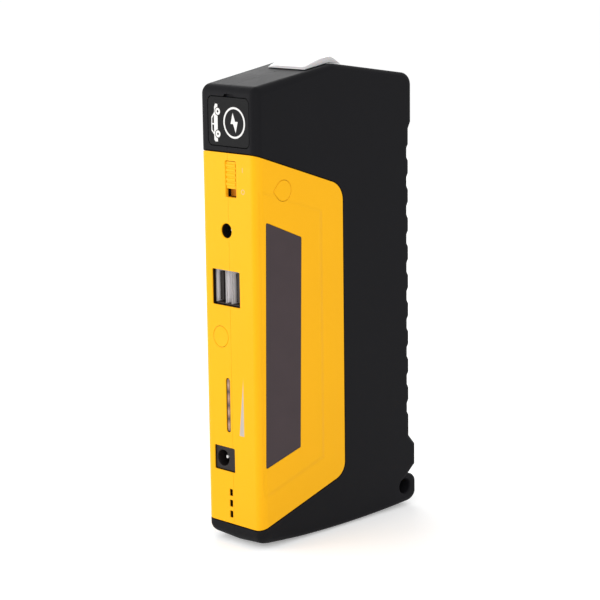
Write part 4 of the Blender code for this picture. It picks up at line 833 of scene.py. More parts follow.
class PACK_OT_button(bpy.types.Operator):
    """Builds the round push button, with a soft dish in its cap: the depth times (1 - r^2)^2, where r is the
    share of the radius."""

    bl_idname = "starter_pack.button"
    bl_label = "Push button"

    def execute(self, context):
        case, panel, colours = settings(context)[:3]
        spot, end = middle("power_button"), high("power_button").x
        flange = SOCKET_X + case.wall + case.gap
        flange_end, flange_radius = flange + BUTTON_FLANGE, BUTTON_RADIUS + BUTTON_FLANGE
        down = rim_profile(BUTTON_RIM)[0][:-1]
        inner = BUTTON_RADIUS - BUTTON_RIM
        dish = np.linspace(0.05, 0.93, 10)
        depth = BUTTON_DISH * (1 - dish**2) ** 2
        profile = [(SOCKET_X + d, BUTTON_RADIUS * r) for r, d in zip(dish, depth)]
        edge = BUTTON_RIM * np.sin(np.arccos(1 - down / BUTTON_RIM))
        profile += [(SOCKET_X + d, inner + e) for d, e in zip(down, edge)]
        profile += [
            (SOCKET_X + BUTTON_RIM, BUTTON_RADIUS), (flange, BUTTON_RADIUS), (flange, flange_radius),
            (flange_end, flange_radius), (flange_end, BUTTON_STEM), (end, BUTTON_STEM),
        ]
        button = piece_of("push_button", [turned("x", (spot.y, spot.z), profile, 72)])
        plastic = yellow_plastic("button_finish", colours, panel, False)
        finished(button, plastic, "button", "power_button")
        return {"FINISHED"}


KNOB_THICKNESS = 2.2 * MM
KNOB_STEM = 1.6 * MM, 2.4 * MM  # its width and its height
KNOB_LONGER = 0.55 * MM
KNOB_ENDS = 0.25 * MM, 0.2 * MM  # how far its two ends lie towards the back half
KNOB_RIDGES, RIDGE_RISE, RIDGE_SHARE = 5, 0.3 * MM, 0.72


class PACK_OT_knob(bpy.types.Operator):
    """Builds the ridged knob of the slide switch."""

    bl_idname = "starter_pack.knob"
    bl_label = "Switch knob"

    def execute(self, context):
        _case, panel, colours = settings(context)[:3]
        lowest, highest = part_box("switch_knob")
        spot = middle("switch_knob")
        back = lowest.x + KNOB_THICKNESS
        pitch = (highest.z - lowest.z) / (KNOB_RIDGES + 0.5)
        top = highest.z + KNOB_LONGER
        z = np.linspace(top, lowest.z, 201)
        phase = (highest.z - z) / pitch - 0.2
        hump = np.sin(np.clip(phase % 1.0, 0.0, RIDGE_SHARE) / RIDGE_SHARE * math.pi)
        crest = np.where((phase < 0) | (phase > KNOB_RIDGES), 0.0, np.clip(hump * 1.6, 0.0, 1.0))
        face = lowest.x + RIDGE_RISE * (1 - crest)
        outline = np.vstack([np.column_stack([face, z]), [(back, lowest.z), (back, top)]])
        ends = (lowest.y + KNOB_ENDS[0], highest.y + KNOB_ENDS[1])
        knob = piece_of("slide_knob", [prism(outline, "y", *ends)])
        ys, zs = ((at - size / 2, at + size / 2) for at, size in zip((spot.y, spot.z), KNOB_STEM))
        carve(knob, [("UNION", [box((back - MM, highest.x), ys, zs)])])
        plastic = yellow_plastic("knob_finish", colours, panel, False)
        finished(knob, plastic, "switch", "switch_knob")
        return {"FINISHED"}


WINDOW_NARROWER, WINDOW_RIM = 0.3 * MM, 0.3 * MM
WINDOW_ROUND = 0.48  # corner radius by width


class PACK_OT_window(bpy.types.Operator):
    """Builds the tall amber window over the level lights."""

    bl_idname = "starter_pack.window"
    bl_label = "Light window"

    def execute(self, context):
        corner = (extent("light_window").y - WINDOW_NARROWER) * WINDOW_ROUND
        outline = socket_outline("light_window", corner, -WINDOW_NARROWER, 12)
        ends = (low("light_window").x, high("light_window").x)
        window = piece_of("amber_window", [pill(outline, "x", *ends, WINDOW_RIM)])
        amber = amber_window("window_amber", settings(context)[2].amber)
        finished(window, amber, "case", "light_window")
        return {"FINISHED"}


INLET_CORNER, INLET_RIM = 0.6 * MM, 0.25 * MM
INLET_BORE, INLET_DEPTH, INLET_MOUTH = 3.1 * MM, 9.5 * MM, 0.3 * MM


class PACK_OT_inlet(bpy.types.Operator):
    """Builds the inlet jack: a soft-edged block with a round bore whose mouth is rounded."""

    bl_idname = "starter_pack.inlet"
    bl_label = "Inlet jack"

    def execute(self, context):
        lowest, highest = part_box("inlet_jack")
        outline = socket_outline("inlet_jack", INLET_CORNER)
        pin = middle("inlet_pin")
        jack = piece_of("inlet_block", [pill(outline, "x", lowest.x, highest.x, INLET_RIM)])
        bore = flared(circle(pin.y, pin.z, INLET_BORE, 56), "x", lowest.x, INLET_DEPTH, INLET_MOUTH)
        carve(jack, [("DIFFERENCE", [bore])])
        finished(jack, moulded("jack_black", (0.012, 0.009, 0.009), 0.5), "case", "inlet_jack")
        return {"FINISHED"}


SHEET = 0.4 * MM
PORT_WIDTH, PORT_DEPTH, PORT_CORNER, PORT_RIM = 5.7 * MM, 10.0 * MM, 0.35 * MM, 0.12 * MM
WEB_DEPTH, WEB_CORNER, WEB_RIM = 9.0 * MM, 0.3 * MM, 0.1 * MM
OUTLET_CORNER, OUTLET_EDGE = 0.55 * MM, 0.14 * MM
SPRING_LENGTH, SPRING_HEIGHT, SPRING_CORNER = 5.0 * MM, 1.7 * MM, 0.3 * MM
SPRING_IN, SPRING_UP = 5.2 * MM, 2.6 * MM  # place of a spring window, from the mouth and from the middle


class PACK_OT_outlet_case(bpy.types.Operator):
    """Builds the double outlet's metal shell: folded sheet, two mouths and their spring windows."""

    bl_idname = "starter_pack.usb"
    bl_label = "Double outlet"

    def execute(self, context):
        lowest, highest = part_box("usb_shell")
        spot, size = middle("usb_shell"), extent("usb_shell")
        outer = socket_outline("usb_shell", OUTLET_CORNER)
        shell = piece_of("outlet_shell", [pill(outer, "x", lowest.x, highest.x, OUTLET_EDGE)])
        clear = size.z - 2 * SHEET
        mouths, springs = [], []
        for side in (-1, 1):
            y = spot.y + side * (size.y - PORT_WIDTH) / 2
            outline = rectangle(y, spot.z, PORT_WIDTH - 2 * SHEET, clear, PORT_CORNER)
            mouths.append(flared(outline, "x", lowest.x, PORT_DEPTH, PORT_RIM))
            inner = y - side * (PORT_WIDTH / 2 - SHEET)
            ends = sorted((inner - side * SHEET / 2, inner + side * 0.3 * MM))
            for up in (-SPRING_UP, SPRING_UP):
                place = (lowest.x + SPRING_IN, spot.z + up)
                window = rectangle(*place, SPRING_LENGTH, SPRING_HEIGHT, SPRING_CORNER, 3)
                springs.append(prism(window, "y", *ends))
        web = rectangle(spot.y, spot.z, size.y - 2 * PORT_WIDTH - 2 * SHEET, clear, WEB_CORNER)
        mouths.append(flared(web, "x", lowest.x, WEB_DEPTH, WEB_RIM))
        carve(shell, [("DIFFERENCE", mouths), ("DIFFERENCE", springs)])
        steel = mouth_steel("outlet_steel", lowest.x * PER_METRE, spot.y * PER_METRE, lowest.z * PER_METRE)
        finished(shell, steel, "case", "usb_shell")
        return {"FINISHED"}


class PACK_OT_torch(bpy.types.Operator):
    """Builds the frosted lens, a thin hollow wedge that rides over the ridge."""

    bl_idname = "starter_pack.torch"
    bl_label = "Torch lens"

    def execute(self, context):
        case, _panel, colours, torch = settings(context)[:4]
        lens = piece_of("lens_wedge", [lens_skin(case, torch)])
        finished(lens, frosted_lens("lens_frosted", colours.lens), "case", "torch_lens")
        return {"FINISHED"}


LENS_LEAST = 0.2 * MM  # the least rise over the roof
LENS_BORDER = 0.3  # share of the rise that is left at the border
LENS_HOLLOW = 0.5 * MM  # over how much of its length the hollow reaches its full height
LENS_SMOOTHING = 9  # rows
LENS_RAMP = 2.0 * MM  # how far before the ridge the lens has its full width and nearly its full height
LENS_GRID, LENS_BUNCHING = 61, 1.6


def bunched(start, end):
    """Places from start to end that lie closer to each other near both ends: 1 - (1 - s)^p of the way out
    from the middle, for even steps s."""
    share = np.linspace(-1.0, 1.0, LENS_GRID)
    share = np.sign(share) * (1 - (1 - np.abs(share)) ** LENS_BUNCHING)
    return start + (end - start) * (share + 1) / 2


def lens_skin(case, torch):
    """The lens over a grid whose back border runs out along X up to the ridge. Its rise over the roof follows
    a smoothed wedge along X, times a quarter-round fall at all four borders: sqrt(1 - (1 - d / r)^2) within r
    of the border, and 1 inside, where r is greatest at the back."""
    lowest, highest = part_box("torch_lens")
    ridge = ridge_x(case)
    x = bunched(lowest.x, highest.x)[:, None]
    back = np.interp(x, [lowest.x, ridge - LENS_RAMP], [highest.y - torch.back_cut, highest.y])
    y = lowest.y + (back - lowest.y) * bunched(0.0, 1.0)
    base = roof_z(case, x) + case.gap
    crest = roof_z(case, ridge) + torch.crest + case.gap
    ends = [roof_z(case, end) + case.gap + torch.edge for end in (lowest.x, highest.x)]
    places = [lowest.x, ridge - LENS_RAMP, ridge + 1.5 * MM, highest.x - 3 * MM, highest.x]
    wedge = np.interp(x[:, 0], places, [ends[0], crest - 0.42 * MM, crest, crest - 0.25 * MM, ends[1]])
    kernel = np.hanning(LENS_SMOOTHING)[1:-1]
    padded = np.pad(wedge, len(kernel) // 2, mode="edge")
    wedge = np.minimum(np.convolve(padded, kernel / kernel.sum(), mode="valid")[:, None], crest)
    borders = np.stack(np.broadcast_arrays(x - lowest.x, highest.x - x, y - lowest.y, back - y))
    radii = np.array([torch.rounding, torch.rounding, torch.front_round, torch.back_round])[:, None, None]
    fall = np.sqrt(1 - np.clip(1 - borders / radii, 0.0, 1.0) ** 2).prod(axis=0)
    rise = np.maximum(wedge - base, LENS_LEAST) * (LENS_BORDER + (1 - LENS_BORDER) * fall)
    hollow = np.clip((borders.min(axis=0) - torch.lip) / LENS_HOLLOW, 0.0, 1.0)
    lift = np.clip(rise - torch.wall, 0.0, None) * hollow
    grids = (np.stack(np.broadcast_arrays(x, y, base + over), axis=-1) for over in (rise, lift))
    return closed_sheet(*grids)


# Shader maths


def unary(operation):
    """A method that adds a Math node of one term."""
    return lambda self: self.maths(operation, self)


def binary(operation, swapped=False):
    """A method that adds a Math node of two terms, with the other one first if they are swapped."""
    return lambda self, other: self.maths(operation, *((other, self) if swapped else (self, other)))


class Term:
    """A socket in a sum: each operation on it adds its Math node."""

    def __init__(self, nodes, socket):
        self.nodes = nodes
        self.socket = socket

    def maths(self, operation, *terms, clamp=False):
        traits = {"operation": operation, "use_clamp": clamp}
        return self.nodes.add("ShaderNodeMath", traits, dict(enumerate(terms)))

    __add__, __radd__ = binary("ADD"), binary("ADD", True)
    __sub__, __rsub__ = binary("SUBTRACT"), binary("SUBTRACT", True)
    __mul__, __rmul__ = binary("MULTIPLY"), binary("MULTIPLY", True)
    __truediv__, __rtruediv__ = binary("DIVIDE"), binary("DIVIDE", True)
    __abs__, sqrt, sin = unary("ABSOLUTE"), unary("SQRT"), unary("SINE")
    least, most, cycle = binary("MINIMUM"), binary("MAXIMUM"), binary("FLOORED_MODULO")

    def __neg__(self):
        return self * -1.0

    def clamped(self):
        return self.maths("ADD", self, 0.0, clamp=True)


class Nodes:
    """A node tree in the making."""

    def __init__(self, tree):
        self.tree = tree
        tree.nodes.clear()

    def put(self, socket, value):
        """Links a term to a socket, or sets the socket's own value."""
        if isinstance(value, Term):
            self.tree.links.new(value.socket, socket)
        else:
            socket.default_value = value

    def node(self, kind, traits=None, sockets=None):
        """Any node: its own settings first, then the values or links of its sockets."""
        made = self.tree.nodes.new(kind)
        for name, value in (traits or {}).items():
            setattr(made, name, value)
        for name, value in (sockets or {}).items():
            self.put(made.inputs[name], value)
        return made

    def add(self, kind, traits=None, sockets=None, out=0):
        """Any node, as the term of one of its outputs."""
        return Term(self, self.node(kind, traits, sockets).outputs[out])

    def seen(self):
        """1 for what meets the camera, also in reflections and through clear pieces, else 0."""
        path = self.node("ShaderNodeLightPath")
        camera, glossy, through = (
            Term(self, path.outputs[f"Is {kind} Ray"]) for kind in ("Camera", "Glossy", "Transmission")
        )
        return camera.most(glossy).most(through)


class Finish(Nodes):
    """A material in the making: a Principled shader and the nodes that feed it."""

    def __init__(self, name, **constants):
        self.material = bpy.data.materials.new(name)
        self.material.use_nodes = True
        super().__init__(self.material.node_tree)
        self.shader = self.node("ShaderNodeBsdfPrincipled")
        self.node("ShaderNodeOutputMaterial", None, {"Surface": Term(self, self.shader.outputs[0])})
        self.feed(**constants)

    def feed(self, **values):
        """Puts colours, terms or numbers into the shader's sockets of those names, and gives the material."""
        for name, value in values.items():
            value = (*value, 1.0) if isinstance(value, tuple) else value
            self.put(self.shader.inputs[name.replace("_", " ")], value)
        return self.material

    @functools.cached_property
    def place(self):
        """Object coordinates in millimetres."""
        spot = self.add("ShaderNodeTexCoord", out="Object")
        return self.add("ShaderNodeVectorMath", {"operation": "SCALE"}, {"Vector": spot, "Scale": PER_METRE})

    def axes(self):
        split = self.node("ShaderNodeSeparateXYZ", None, {"Vector": self.place})
        return [Term(self, socket) for socket in split.outputs]

    def noise(self, scale, detail=2.0, roughness=0.5, stretch=None):
        place = self.place
        if stretch:
            place = self.add("ShaderNodeMapping", None, {"Vector": place, "Scale": stretch})
        sockets = {"Vector": place, "Scale": scale, "Detail": detail, "Roughness": roughness}
        return self.add("ShaderNodeTexNoise", None, sockets, out="Fac")

    def cells(self, scale):
        return self.add("ShaderNodeTexVoronoi", None, {"Vector": self.place, "Scale": scale}, out="Distance")

    def mixed(self, share, first, second):
        first, second = (tone if isinstance(tone, Term) else (*tone, 1.0) for tone in (first, second))
        return self.add("ShaderNodeMix", {"data_type": "RGBA"}, {0: share, 6: first, 7: second}, out=2)

    def relief(self, height, distance=MM, **others):
        """Bump from a height times the distance, so that by default the height is in millimetres."""
        sockets = {"Height": height, "Distance": distance, **others}
        return self.add("ShaderNodeBump", None, sockets, out="Normal")


def shade(base, factor):
    return tuple(min(1.0, channel * factor) for channel in base)


def eased(value, centre, reach):
    """A smooth step from 0 to 1 as the value passes the centre, within the reach to each side."""
    share = ((value - (centre - reach)) / (2 * reach)).clamped()
    return share * share * (3.0 - 2.0 * share)


def ink(distance, soft):
    """Coverage of a print from its signed distance in millimetres: a ramp of that softness about zero."""
    return (0.5 - distance / soft).clamped()


def ring_distance(u, v, cu, cv, radius):
    du, dv = u - cu, v - cv
    return (du * du + dv * dv).sqrt() - radius


def block_distance(u, v, cu, cv, half_u, half_v):
    return (abs(u - cu) - half_u).most(abs(v - cv) - half_v)


def convex_distance(u, v, corners):
    """Signed distance to a convex anticlockwise polygon: the greatest of its sides' line distances."""
    deepest = None
    for (u0, v0), (u1, v1) in zip(corners, corners[1:] + corners[:1]):
        run = math.hypot(u1 - u0, v1 - v0)
        nu, nv = (v1 - v0) / run, -(u1 - u0) / run
        side = u * nu + v * nv - (u0 * nu + v0 * nv)
        deepest = side if deepest is None else deepest.most(side)
    return deepest


def on_face(x):
    """1 on the flat face of the socket side, which is where its signs are printed, and 0 below it."""
    return (1.0 - (x - SOCKET_X * PER_METRE - 0.02) / 0.05).clamped()


def black_plastic(name, base):
    """Black moulded plastic with a fine spark grain: the grain is noise at a third of a millimetre, and
    colour and roughness drift slowly over the surface."""
    finish = Finish(name, Specular_IOR_Level=0.06)
    drift = finish.noise(0.05, 3.0)
    grain = finish.noise(3.2, 3.0, 0.6)
    rub = finish.noise(0.35, 4.0, 0.65)
    return finish.feed(
        Base_Color=finish.mixed(drift * 0.6 + grain * 0.4, shade(base, 0.75), shade(base, 1.3)),
        Roughness=0.42 + 0.12 * drift + 0.10 * grain + 0.05 * rub,
        Normal=finish.relief(rub, 0.03 * MM, Strength=0.5, Normal=finish.relief(grain, 0.02 * MM)),
    )


def yellow_plastic(name, colours, panel, on_panel):
    """Yellow moulded plastic with a satin grain. A panel also has its border, its signs, and painted shade
    that darkens the walls of its openings.
    """
    base = tuple(colours.yellow)
    finish = Finish(name, Specular_IOR_Level=0.08)
    drift = finish.noise(0.03, 2.0)
    grain = finish.noise(3.6, 3.0, 0.55)
    flow = finish.noise(0.25, 3.0, 0.5, (1.0, 1.0, 0.25))
    tint = finish.mixed(drift, shade(base, 0.975), (min(1.0, base[0] * 1.02), base[1] * 1.05, base[2]))
    tint = finish.mixed(grain * 0.12, tint, shade(base, 0.86))
    height = grain * 0.012 + flow * 0.02
    if on_panel:
        x, y, z = finish.axes()
        height = height + panel_border(panel, x, y, z)
        # painted shade: the walls of the openings below the switch are mixed to a dark brown
        tint = finish.mixed(opening_wall_shade(x, y, z), tint, (0.020, 0.008, 0.003))
        tint = finish.mixed(panel_signs(y, z) * on_face(x), tint, tuple(colours.print_grey))
    return finish.feed(
        Base_Color=tint,
        Roughness=0.33 + 0.10 * drift + 0.08 * grain,
        Normal=finish.relief(height),
    )


def panel_border(panel, x, y, z):
    """Height of the panel over its pressed border, on the wide faces: it rises with the distance from the
    nearest of the panel's three sides, in a soft swell and then a small step at the border's width."""
    lowest, highest = (corner * PER_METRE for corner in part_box("front_panel"))
    out = x - SOCKET_X * PER_METRE
    fall, rise = panel.top_slope, panel.bottom_slope
    from_top = (highest.z - out * math.tan(fall) - z) * math.cos(fall)
    from_bottom = (z - lowest.z - out * math.tan(rise)) * math.cos(rise)
    inside = (highest.x - x).least(from_top).least(from_bottom)
    border = panel.border * PER_METRE
    wide = ((abs(y) - (HALF_DEPTH * PER_METRE - 0.6)) / 0.5).clamped()
    return (eased(inside, border, 1.0) * 0.3 + eased(inside, border * 0.35, 3.0) * 0.1) * wide


def opening_wall_shade(x, y, z):
    """1 on the walls of the openings below the switch, which lie behind the face and away from its sides:
    where painted shade darkens the yellow.
    """
    below_switch = (low("switch_body").z * PER_METRE - 0.5 - z) * 4.0
    within = ((11.0 - abs(y)) * 5.0).clamped() * below_switch.clamped()
    return ((x - SOCKET_X * PER_METRE - 0.35) / 0.12).clamped() * within


def panel_signs(y, z):
    """The tall level wedge beside the window, and the plain bar and ring beside the switch."""
    knob = middle("switch_knob") * PER_METRE
    wedge = convex_distance(y, z, [(-6.39, 43.1), (-3.91, 43.1), (-6.30, 64.3)])
    on = block_distance(y, z, -7.9, knob.z + 2.6, 0.16, 0.85)
    off = abs(ring_distance(y, z, -8.0, knob.z - 5.4, 0.8)) - 0.16
    return (ink(wedge, 0.25) * 0.9).most(ink(on.least(off), 0.2) * 0.5)


def plate_film(name, base):
    """Printed film: dark satin ground with the faint weave of a silk screen and slight waviness."""
    finish = Finish(name, Specular_IOR_Level=0.16)
    x, _y, z = finish.axes()
    screen = ((x * 18.0).sin() * (z * 18.0).sin()) * 0.5 + 0.5
    wave = finish.noise(0.09, 2.0)
    return finish.feed(
        Base_Color=finish.mixed(wave * 0.7 + screen * 0.2, shade(base, 0.85), shade(base, 1.2)),
        Roughness=0.30 + 0.14 * wave + 0.05 * screen,
        Normal=finish.relief(wave * 0.05 + screen * 0.002),
    )


def cover_rubber(name, colours):
    """Matt rubber with white signs: a ring with a lightning bolt, and a small car from the side, on end."""
    base = tuple(colours.rubber)
    finish = Finish(name, Specular_IOR_Level=0.06)
    x, y, z = finish.axes()
    drift = finish.noise(0.2, 3.0)
    grain = finish.noise(5.0, 3.0, 0.7)
    ground = finish.mixed(drift * 0.5 + grain * 0.5, shade(base, 0.8), shade(base, 1.5))
    signs = cover_signs(y, z) * on_face(x) * (0.93 + 0.1 * grain)
    return finish.feed(
        Base_Color=finish.mixed(signs, ground, tuple(colours.print_white)),
        Roughness=0.56 + 0.16 * grain - 0.12 * signs,
        Normal=finish.relief(grain * 0.01 + signs * 0.012),
    )


RING_Y, RING_Z, RING_RADIUS, RING_LINE = -4.0, 160.9, 5.4, 0.36
CAR_Y, CAR_Z = 5.9, 160.4
WHEELS, WHEEL_LOW = (-4.1, 4.2), -1.1


def wheel_pair(u, v, radius):
    """Distance to circles of one radius about both wheels' middles."""
    first, second = (ring_distance(u, v, wheel, WHEEL_LOW, radius) for wheel in WHEELS)
    return first.least(second)


def cover_signs(y, z):
    """Coverage of the cover's print. The bolt is two triangles that share a waist, the car a body, a cabin
    with two panes, and wheels in their arches."""
    ring = abs(ring_distance(y, z, RING_Y, RING_Z, RING_RADIUS)) - RING_LINE
    u, v = z - RING_Z, y - RING_Y
    upper = convex_distance(u, v, [(-0.45, -0.9), (3.6, 0.75), (-0.45, 1.9)])
    lower = convex_distance(u, v, [(0.45, 0.9), (-3.6, -0.75), (0.45, -1.9)])
    u, v = z - CAR_Z, y - CAR_Y
    body = convex_distance(u, v, [
        (-6.9, -1.0), (6.9, -1.0), (7.0, 0.2), (5.8, 0.75), (-6.3, 0.95), (-7.0, 0.3),
    ])
    cabin = convex_distance(u, v, [(-4.9, 0.6), (4.2, 0.5), (1.9, 2.35), (-3.0, 2.45)])
    rear_pane = convex_distance(u, v, [(-3.7, 0.95), (-0.8, 0.95), (-0.8, 1.95), (-2.7, 1.95)])
    front_pane = convex_distance(u, v, [(-0.3, 0.95), (2.9, 0.95), (1.5, 1.95), (-0.3, 1.95)])
    arches, tyres, hubs = (wheel_pair(u, v, radius) for radius in (1.62, 1.3, 0.45))
    car = body.least(cabin).most(-rear_pane.least(front_pane)).most(-arches).least(tyres.most(-hubs))
    return ink(ring.least(upper).least(lower).least(car), 0.12)


def amber_window(name, base):
    """Smoky amber strip with the four lights showing through as pale patches."""
    finish = Finish(name, Coat_Weight=0.6, Coat_Roughness=0.15)
    _x, y, z = finish.axes()
    spot, count = middle("light_window") * PER_METRE, 4
    pitch = (extent("light_window").z * PER_METRE + 0.2) / count
    along = (z - (spot.z - pitch * count / 2)).cycle(pitch) - pitch / 2
    glow = (1.1 - (along * along + (y - spot.y) * (y - spot.y) * 5.0).sqrt() / 1.9).clamped()
    flaws = finish.noise(0.9, 3.0)
    tint = finish.mixed(glow * (0.3 + 0.9 * flaws), base, (0.50, 0.31, 0.19))
    between = ((abs(along) - (pitch / 2 - 0.75)) * 1.6).clamped()
    return finish.feed(
        Base_Color=finish.mixed(between, tint, shade(base, 0.2)),
        Roughness=0.22 + 0.2 * flaws,
        Normal=finish.relief(flaws, 0.04 * MM),
    )


def frosted_lens(name, base):
    """Frosted milk-white plastic: fine prism ribs along the lens, soft grain, and a clear skin."""
    finish = Finish(name, Subsurface_Weight=0.15, Subsurface_Scale=0.002, Coat_Roughness=0.25)
    _x, y, _z = finish.axes()
    grain = finish.noise(2.5, 3.0)
    ribs = (y * (2 * math.pi / 1.2)).sin() * 0.5 + 0.5
    cloud = finish.noise(0.12, 2.0)
    return finish.feed(
        Base_Color=finish.mixed(cloud * 0.6 + ribs * 0.2, base, shade(base, 0.93)),
        Roughness=0.34 + 0.12 * grain,
        Coat_Weight=0.2 + 0.2 * cloud,
        Normal=finish.relief(grain * 0.006 + ribs * 0.012),
    )


def moulded(name, base, roughness=0.45, scale=2.6):
    """Plain moulded plastic: grain, slow drift of colour and a little variation in gloss."""
    finish = Finish(name, Specular_IOR_Level=0.2)
    drift = finish.noise(0.12, 3.0)
    grain = finish.noise(scale, 3.0, 0.6)
    return finish.feed(
        Base_Color=finish.mixed(drift * 0.6 + grain * 0.4, shade(base, 0.85), shade(base, 1.15)),
        Roughness=roughness - 0.06 + 0.14 * grain,
        Normal=finish.relief(grain, 0.015 * MM),
    )


def bright_metal(name, base, roughness):
    """Drawn bright metal: long fine scratches along X and faint dull patches."""
    finish = Finish(name, Metallic=1.0)
    scratch = finish.noise(4.0, 4.0, 0.7, (0.05, 1.0, 1.0))
    dull = finish.noise(0.3, 3.0)
    return finish.feed(
        Base_Color=finish.mixed(dull * 0.6 + scratch * 0.3, base, shade(base, 0.78)),
        Roughness=roughness + 0.16 * dull + 0.12 * scratch,
        Normal=finish.relief(scratch, 0.01 * MM),
    )


def mouth_steel(name, front, web, foot):
    """Bright sheet in two mouths, with painted shade: their rims, the web between them, their floors and the
    depth are painted dark.
    """
    finish = Finish(name)
    x, y, z = finish.axes()
    scratch = finish.noise(4.0, 4.0, 0.7, (0.1, 1.0, 1.0))
    # painted shade along the mouths' front rims and along the web between them
    rim = ((front + 0.3 - x) * 8.0).clamped().most(((0.5 - abs(y - web)) * 6.0).clamped())
    # painted shade deep inside the mouths and on their floors, joined with the rims' painted shade
    dark = ((x - front - 3.8) / 0.8).clamped().most(rim * 0.7).most(((foot + 0.8 - z) * 3.0).clamped())
    tint = finish.mixed(scratch * 0.5, (0.95, 0.92, 0.93), (0.80, 0.76, 0.78))
    return finish.feed(
        Base_Color=finish.mixed(dark, tint, (0.022, 0.012, 0.009)),
        Metallic=(1.0 - dark) * 0.15,
        Roughness=0.24 + 0.14 * scratch + 0.3 * dark,
        Normal=finish.relief(scratch, 0.01 * MM),
    )


def circuit_board(name, base):
    """Solder-masked board: raised traces from a stepped lattice, and bright pads where its cells meet."""
    finish = Finish(name, Coat_Weight=0.3, Coat_Roughness=0.2)
    x, _y, z = finish.axes()
    bend = finish.noise(0.1, 1.0) * 5.0
    lane = abs((x + bend).cycle(1.9) - 0.95)
    cross = abs((z + bend * 0.8).cycle(5.7) - 2.85)
    trace = ink((lane - 0.3).least(cross - 0.22), 0.12)
    pad = ink(ring_distance(x.cycle(3.8), z.cycle(5.7), 1.9, 2.85, 0.62), 0.1)
    grain = finish.noise(1.4, 3.0)
    tint = finish.mixed(trace * 0.55 + grain * 0.12, base, shade(base, 2.3))
    return finish.feed(
        Base_Color=finish.mixed(pad, tint, (0.62, 0.60, 0.55)),
        Metallic=pad * 0.9,
        Roughness=0.42 - 0.12 * pad + 0.1 * grain,
        Normal=finish.relief(trace * 0.03 + pad * 0.02),
    )


def pouch_foil(name, base):
    """Aluminium pouch of a flat cell: broad dents, fine wrinkles, and a stippled hem at top and bottom."""
    finish = Finish(name, Metallic=0.85)
    _x, _y, z = finish.axes()
    lowest, highest = low("battery_cell_1").z * PER_METRE, low("cell_link_1").z * PER_METRE
    dents = finish.noise(0.07, 3.0)
    creases = finish.noise(0.6, 4.0, 0.65)
    hem = (1.0 - (z - lowest).least(highest - z) / 7.0).clamped()
    return finish.feed(
        Base_Color=finish.mixed(creases * 0.7, base, shade(base, 0.72)),
        Roughness=0.28 + 0.22 * creases,
        Normal=finish.relief(dents * 0.5 + creases * 0.06 + finish.cells(1.1) * hem * 0.15),
    )


def cable_sleeve(name, base):
    """Soft cable rubber with talc in its grain."""
    finish = Finish(name, Specular_IOR_Level=0.35)
    dust = finish.noise(1.1, 4.0, 0.7)
    return finish.feed(
        Base_Color=finish.mixed(dust * 0.35, base, (0.35, 0.33, 0.31)),
        Roughness=0.5 + 0.2 * dust,
        Normal=finish.relief(finish.noise(6.0, 2.0), 0.02 * MM),
    )


def foam(name, base):
    """Open-cell foam: painted shade darkens the pits and a painted highlight lightens the walls between them.
    """
    finish = Finish(name)
    pits = finish.cells(1.6)
    fine = finish.noise(4.0, 3.0)
    # painted shade in the pits and a painted highlight on the walls between them
    return finish.feed(
        Base_Color=finish.mixed((pits * 1.4).clamped(), shade(base, 0.5), shade(base, 2.2)),
        Roughness=0.85 + 0.12 * fine,
        Normal=finish.relief(pits * 0.25 + fine * 0.05),
    )


def light_chip(name, base, centre):
    """A light's chip: pale body with a phosphor disc."""
    finish = Finish(name)
    du, dv, dw = (axis - at for axis, at in zip(finish.axes(), centre * PER_METRE))
    disc = ink((du * du + dv * dv + dw * dw).sqrt() - 1.15, 0.15)
    grain = finish.noise(3.0, 2.0)
    return finish.feed(
        Base_Color=finish.mixed(disc, (0.82, 0.81, 0.77), base),
        Roughness=0.25 + 0.25 * grain,
        Normal=finish.relief(disc * 0.05 + grain * 0.01),
    )


def sleeved_can(name, base):
    """Capacitor in its printed sleeve: dark plastic with a pale stripe down one side, and bare metal ends."""
    finish = Finish(name)
    x, _y, z = finish.axes()
    spot = middle("capacitor") * PER_METRE
    stripe = ink(abs(x - spot.x) - 0.9, 0.1)
    grain = finish.noise(2.0, 3.0)
    end = ink(extent("capacitor").z * PER_METRE / 2 - 0.35 - abs(z - spot.z), 0.1)
    sleeve = finish.mixed(stripe, base, (0.6, 0.6, 0.58))
    return finish.feed(
        Base_Color=finish.mixed(end, sleeve, (0.72, 0.72, 0.73)),
        Metallic=end,
        Roughness=0.35 + 0.1 * grain,
        Normal=finish.relief(grain, 0.01 * MM),
    )


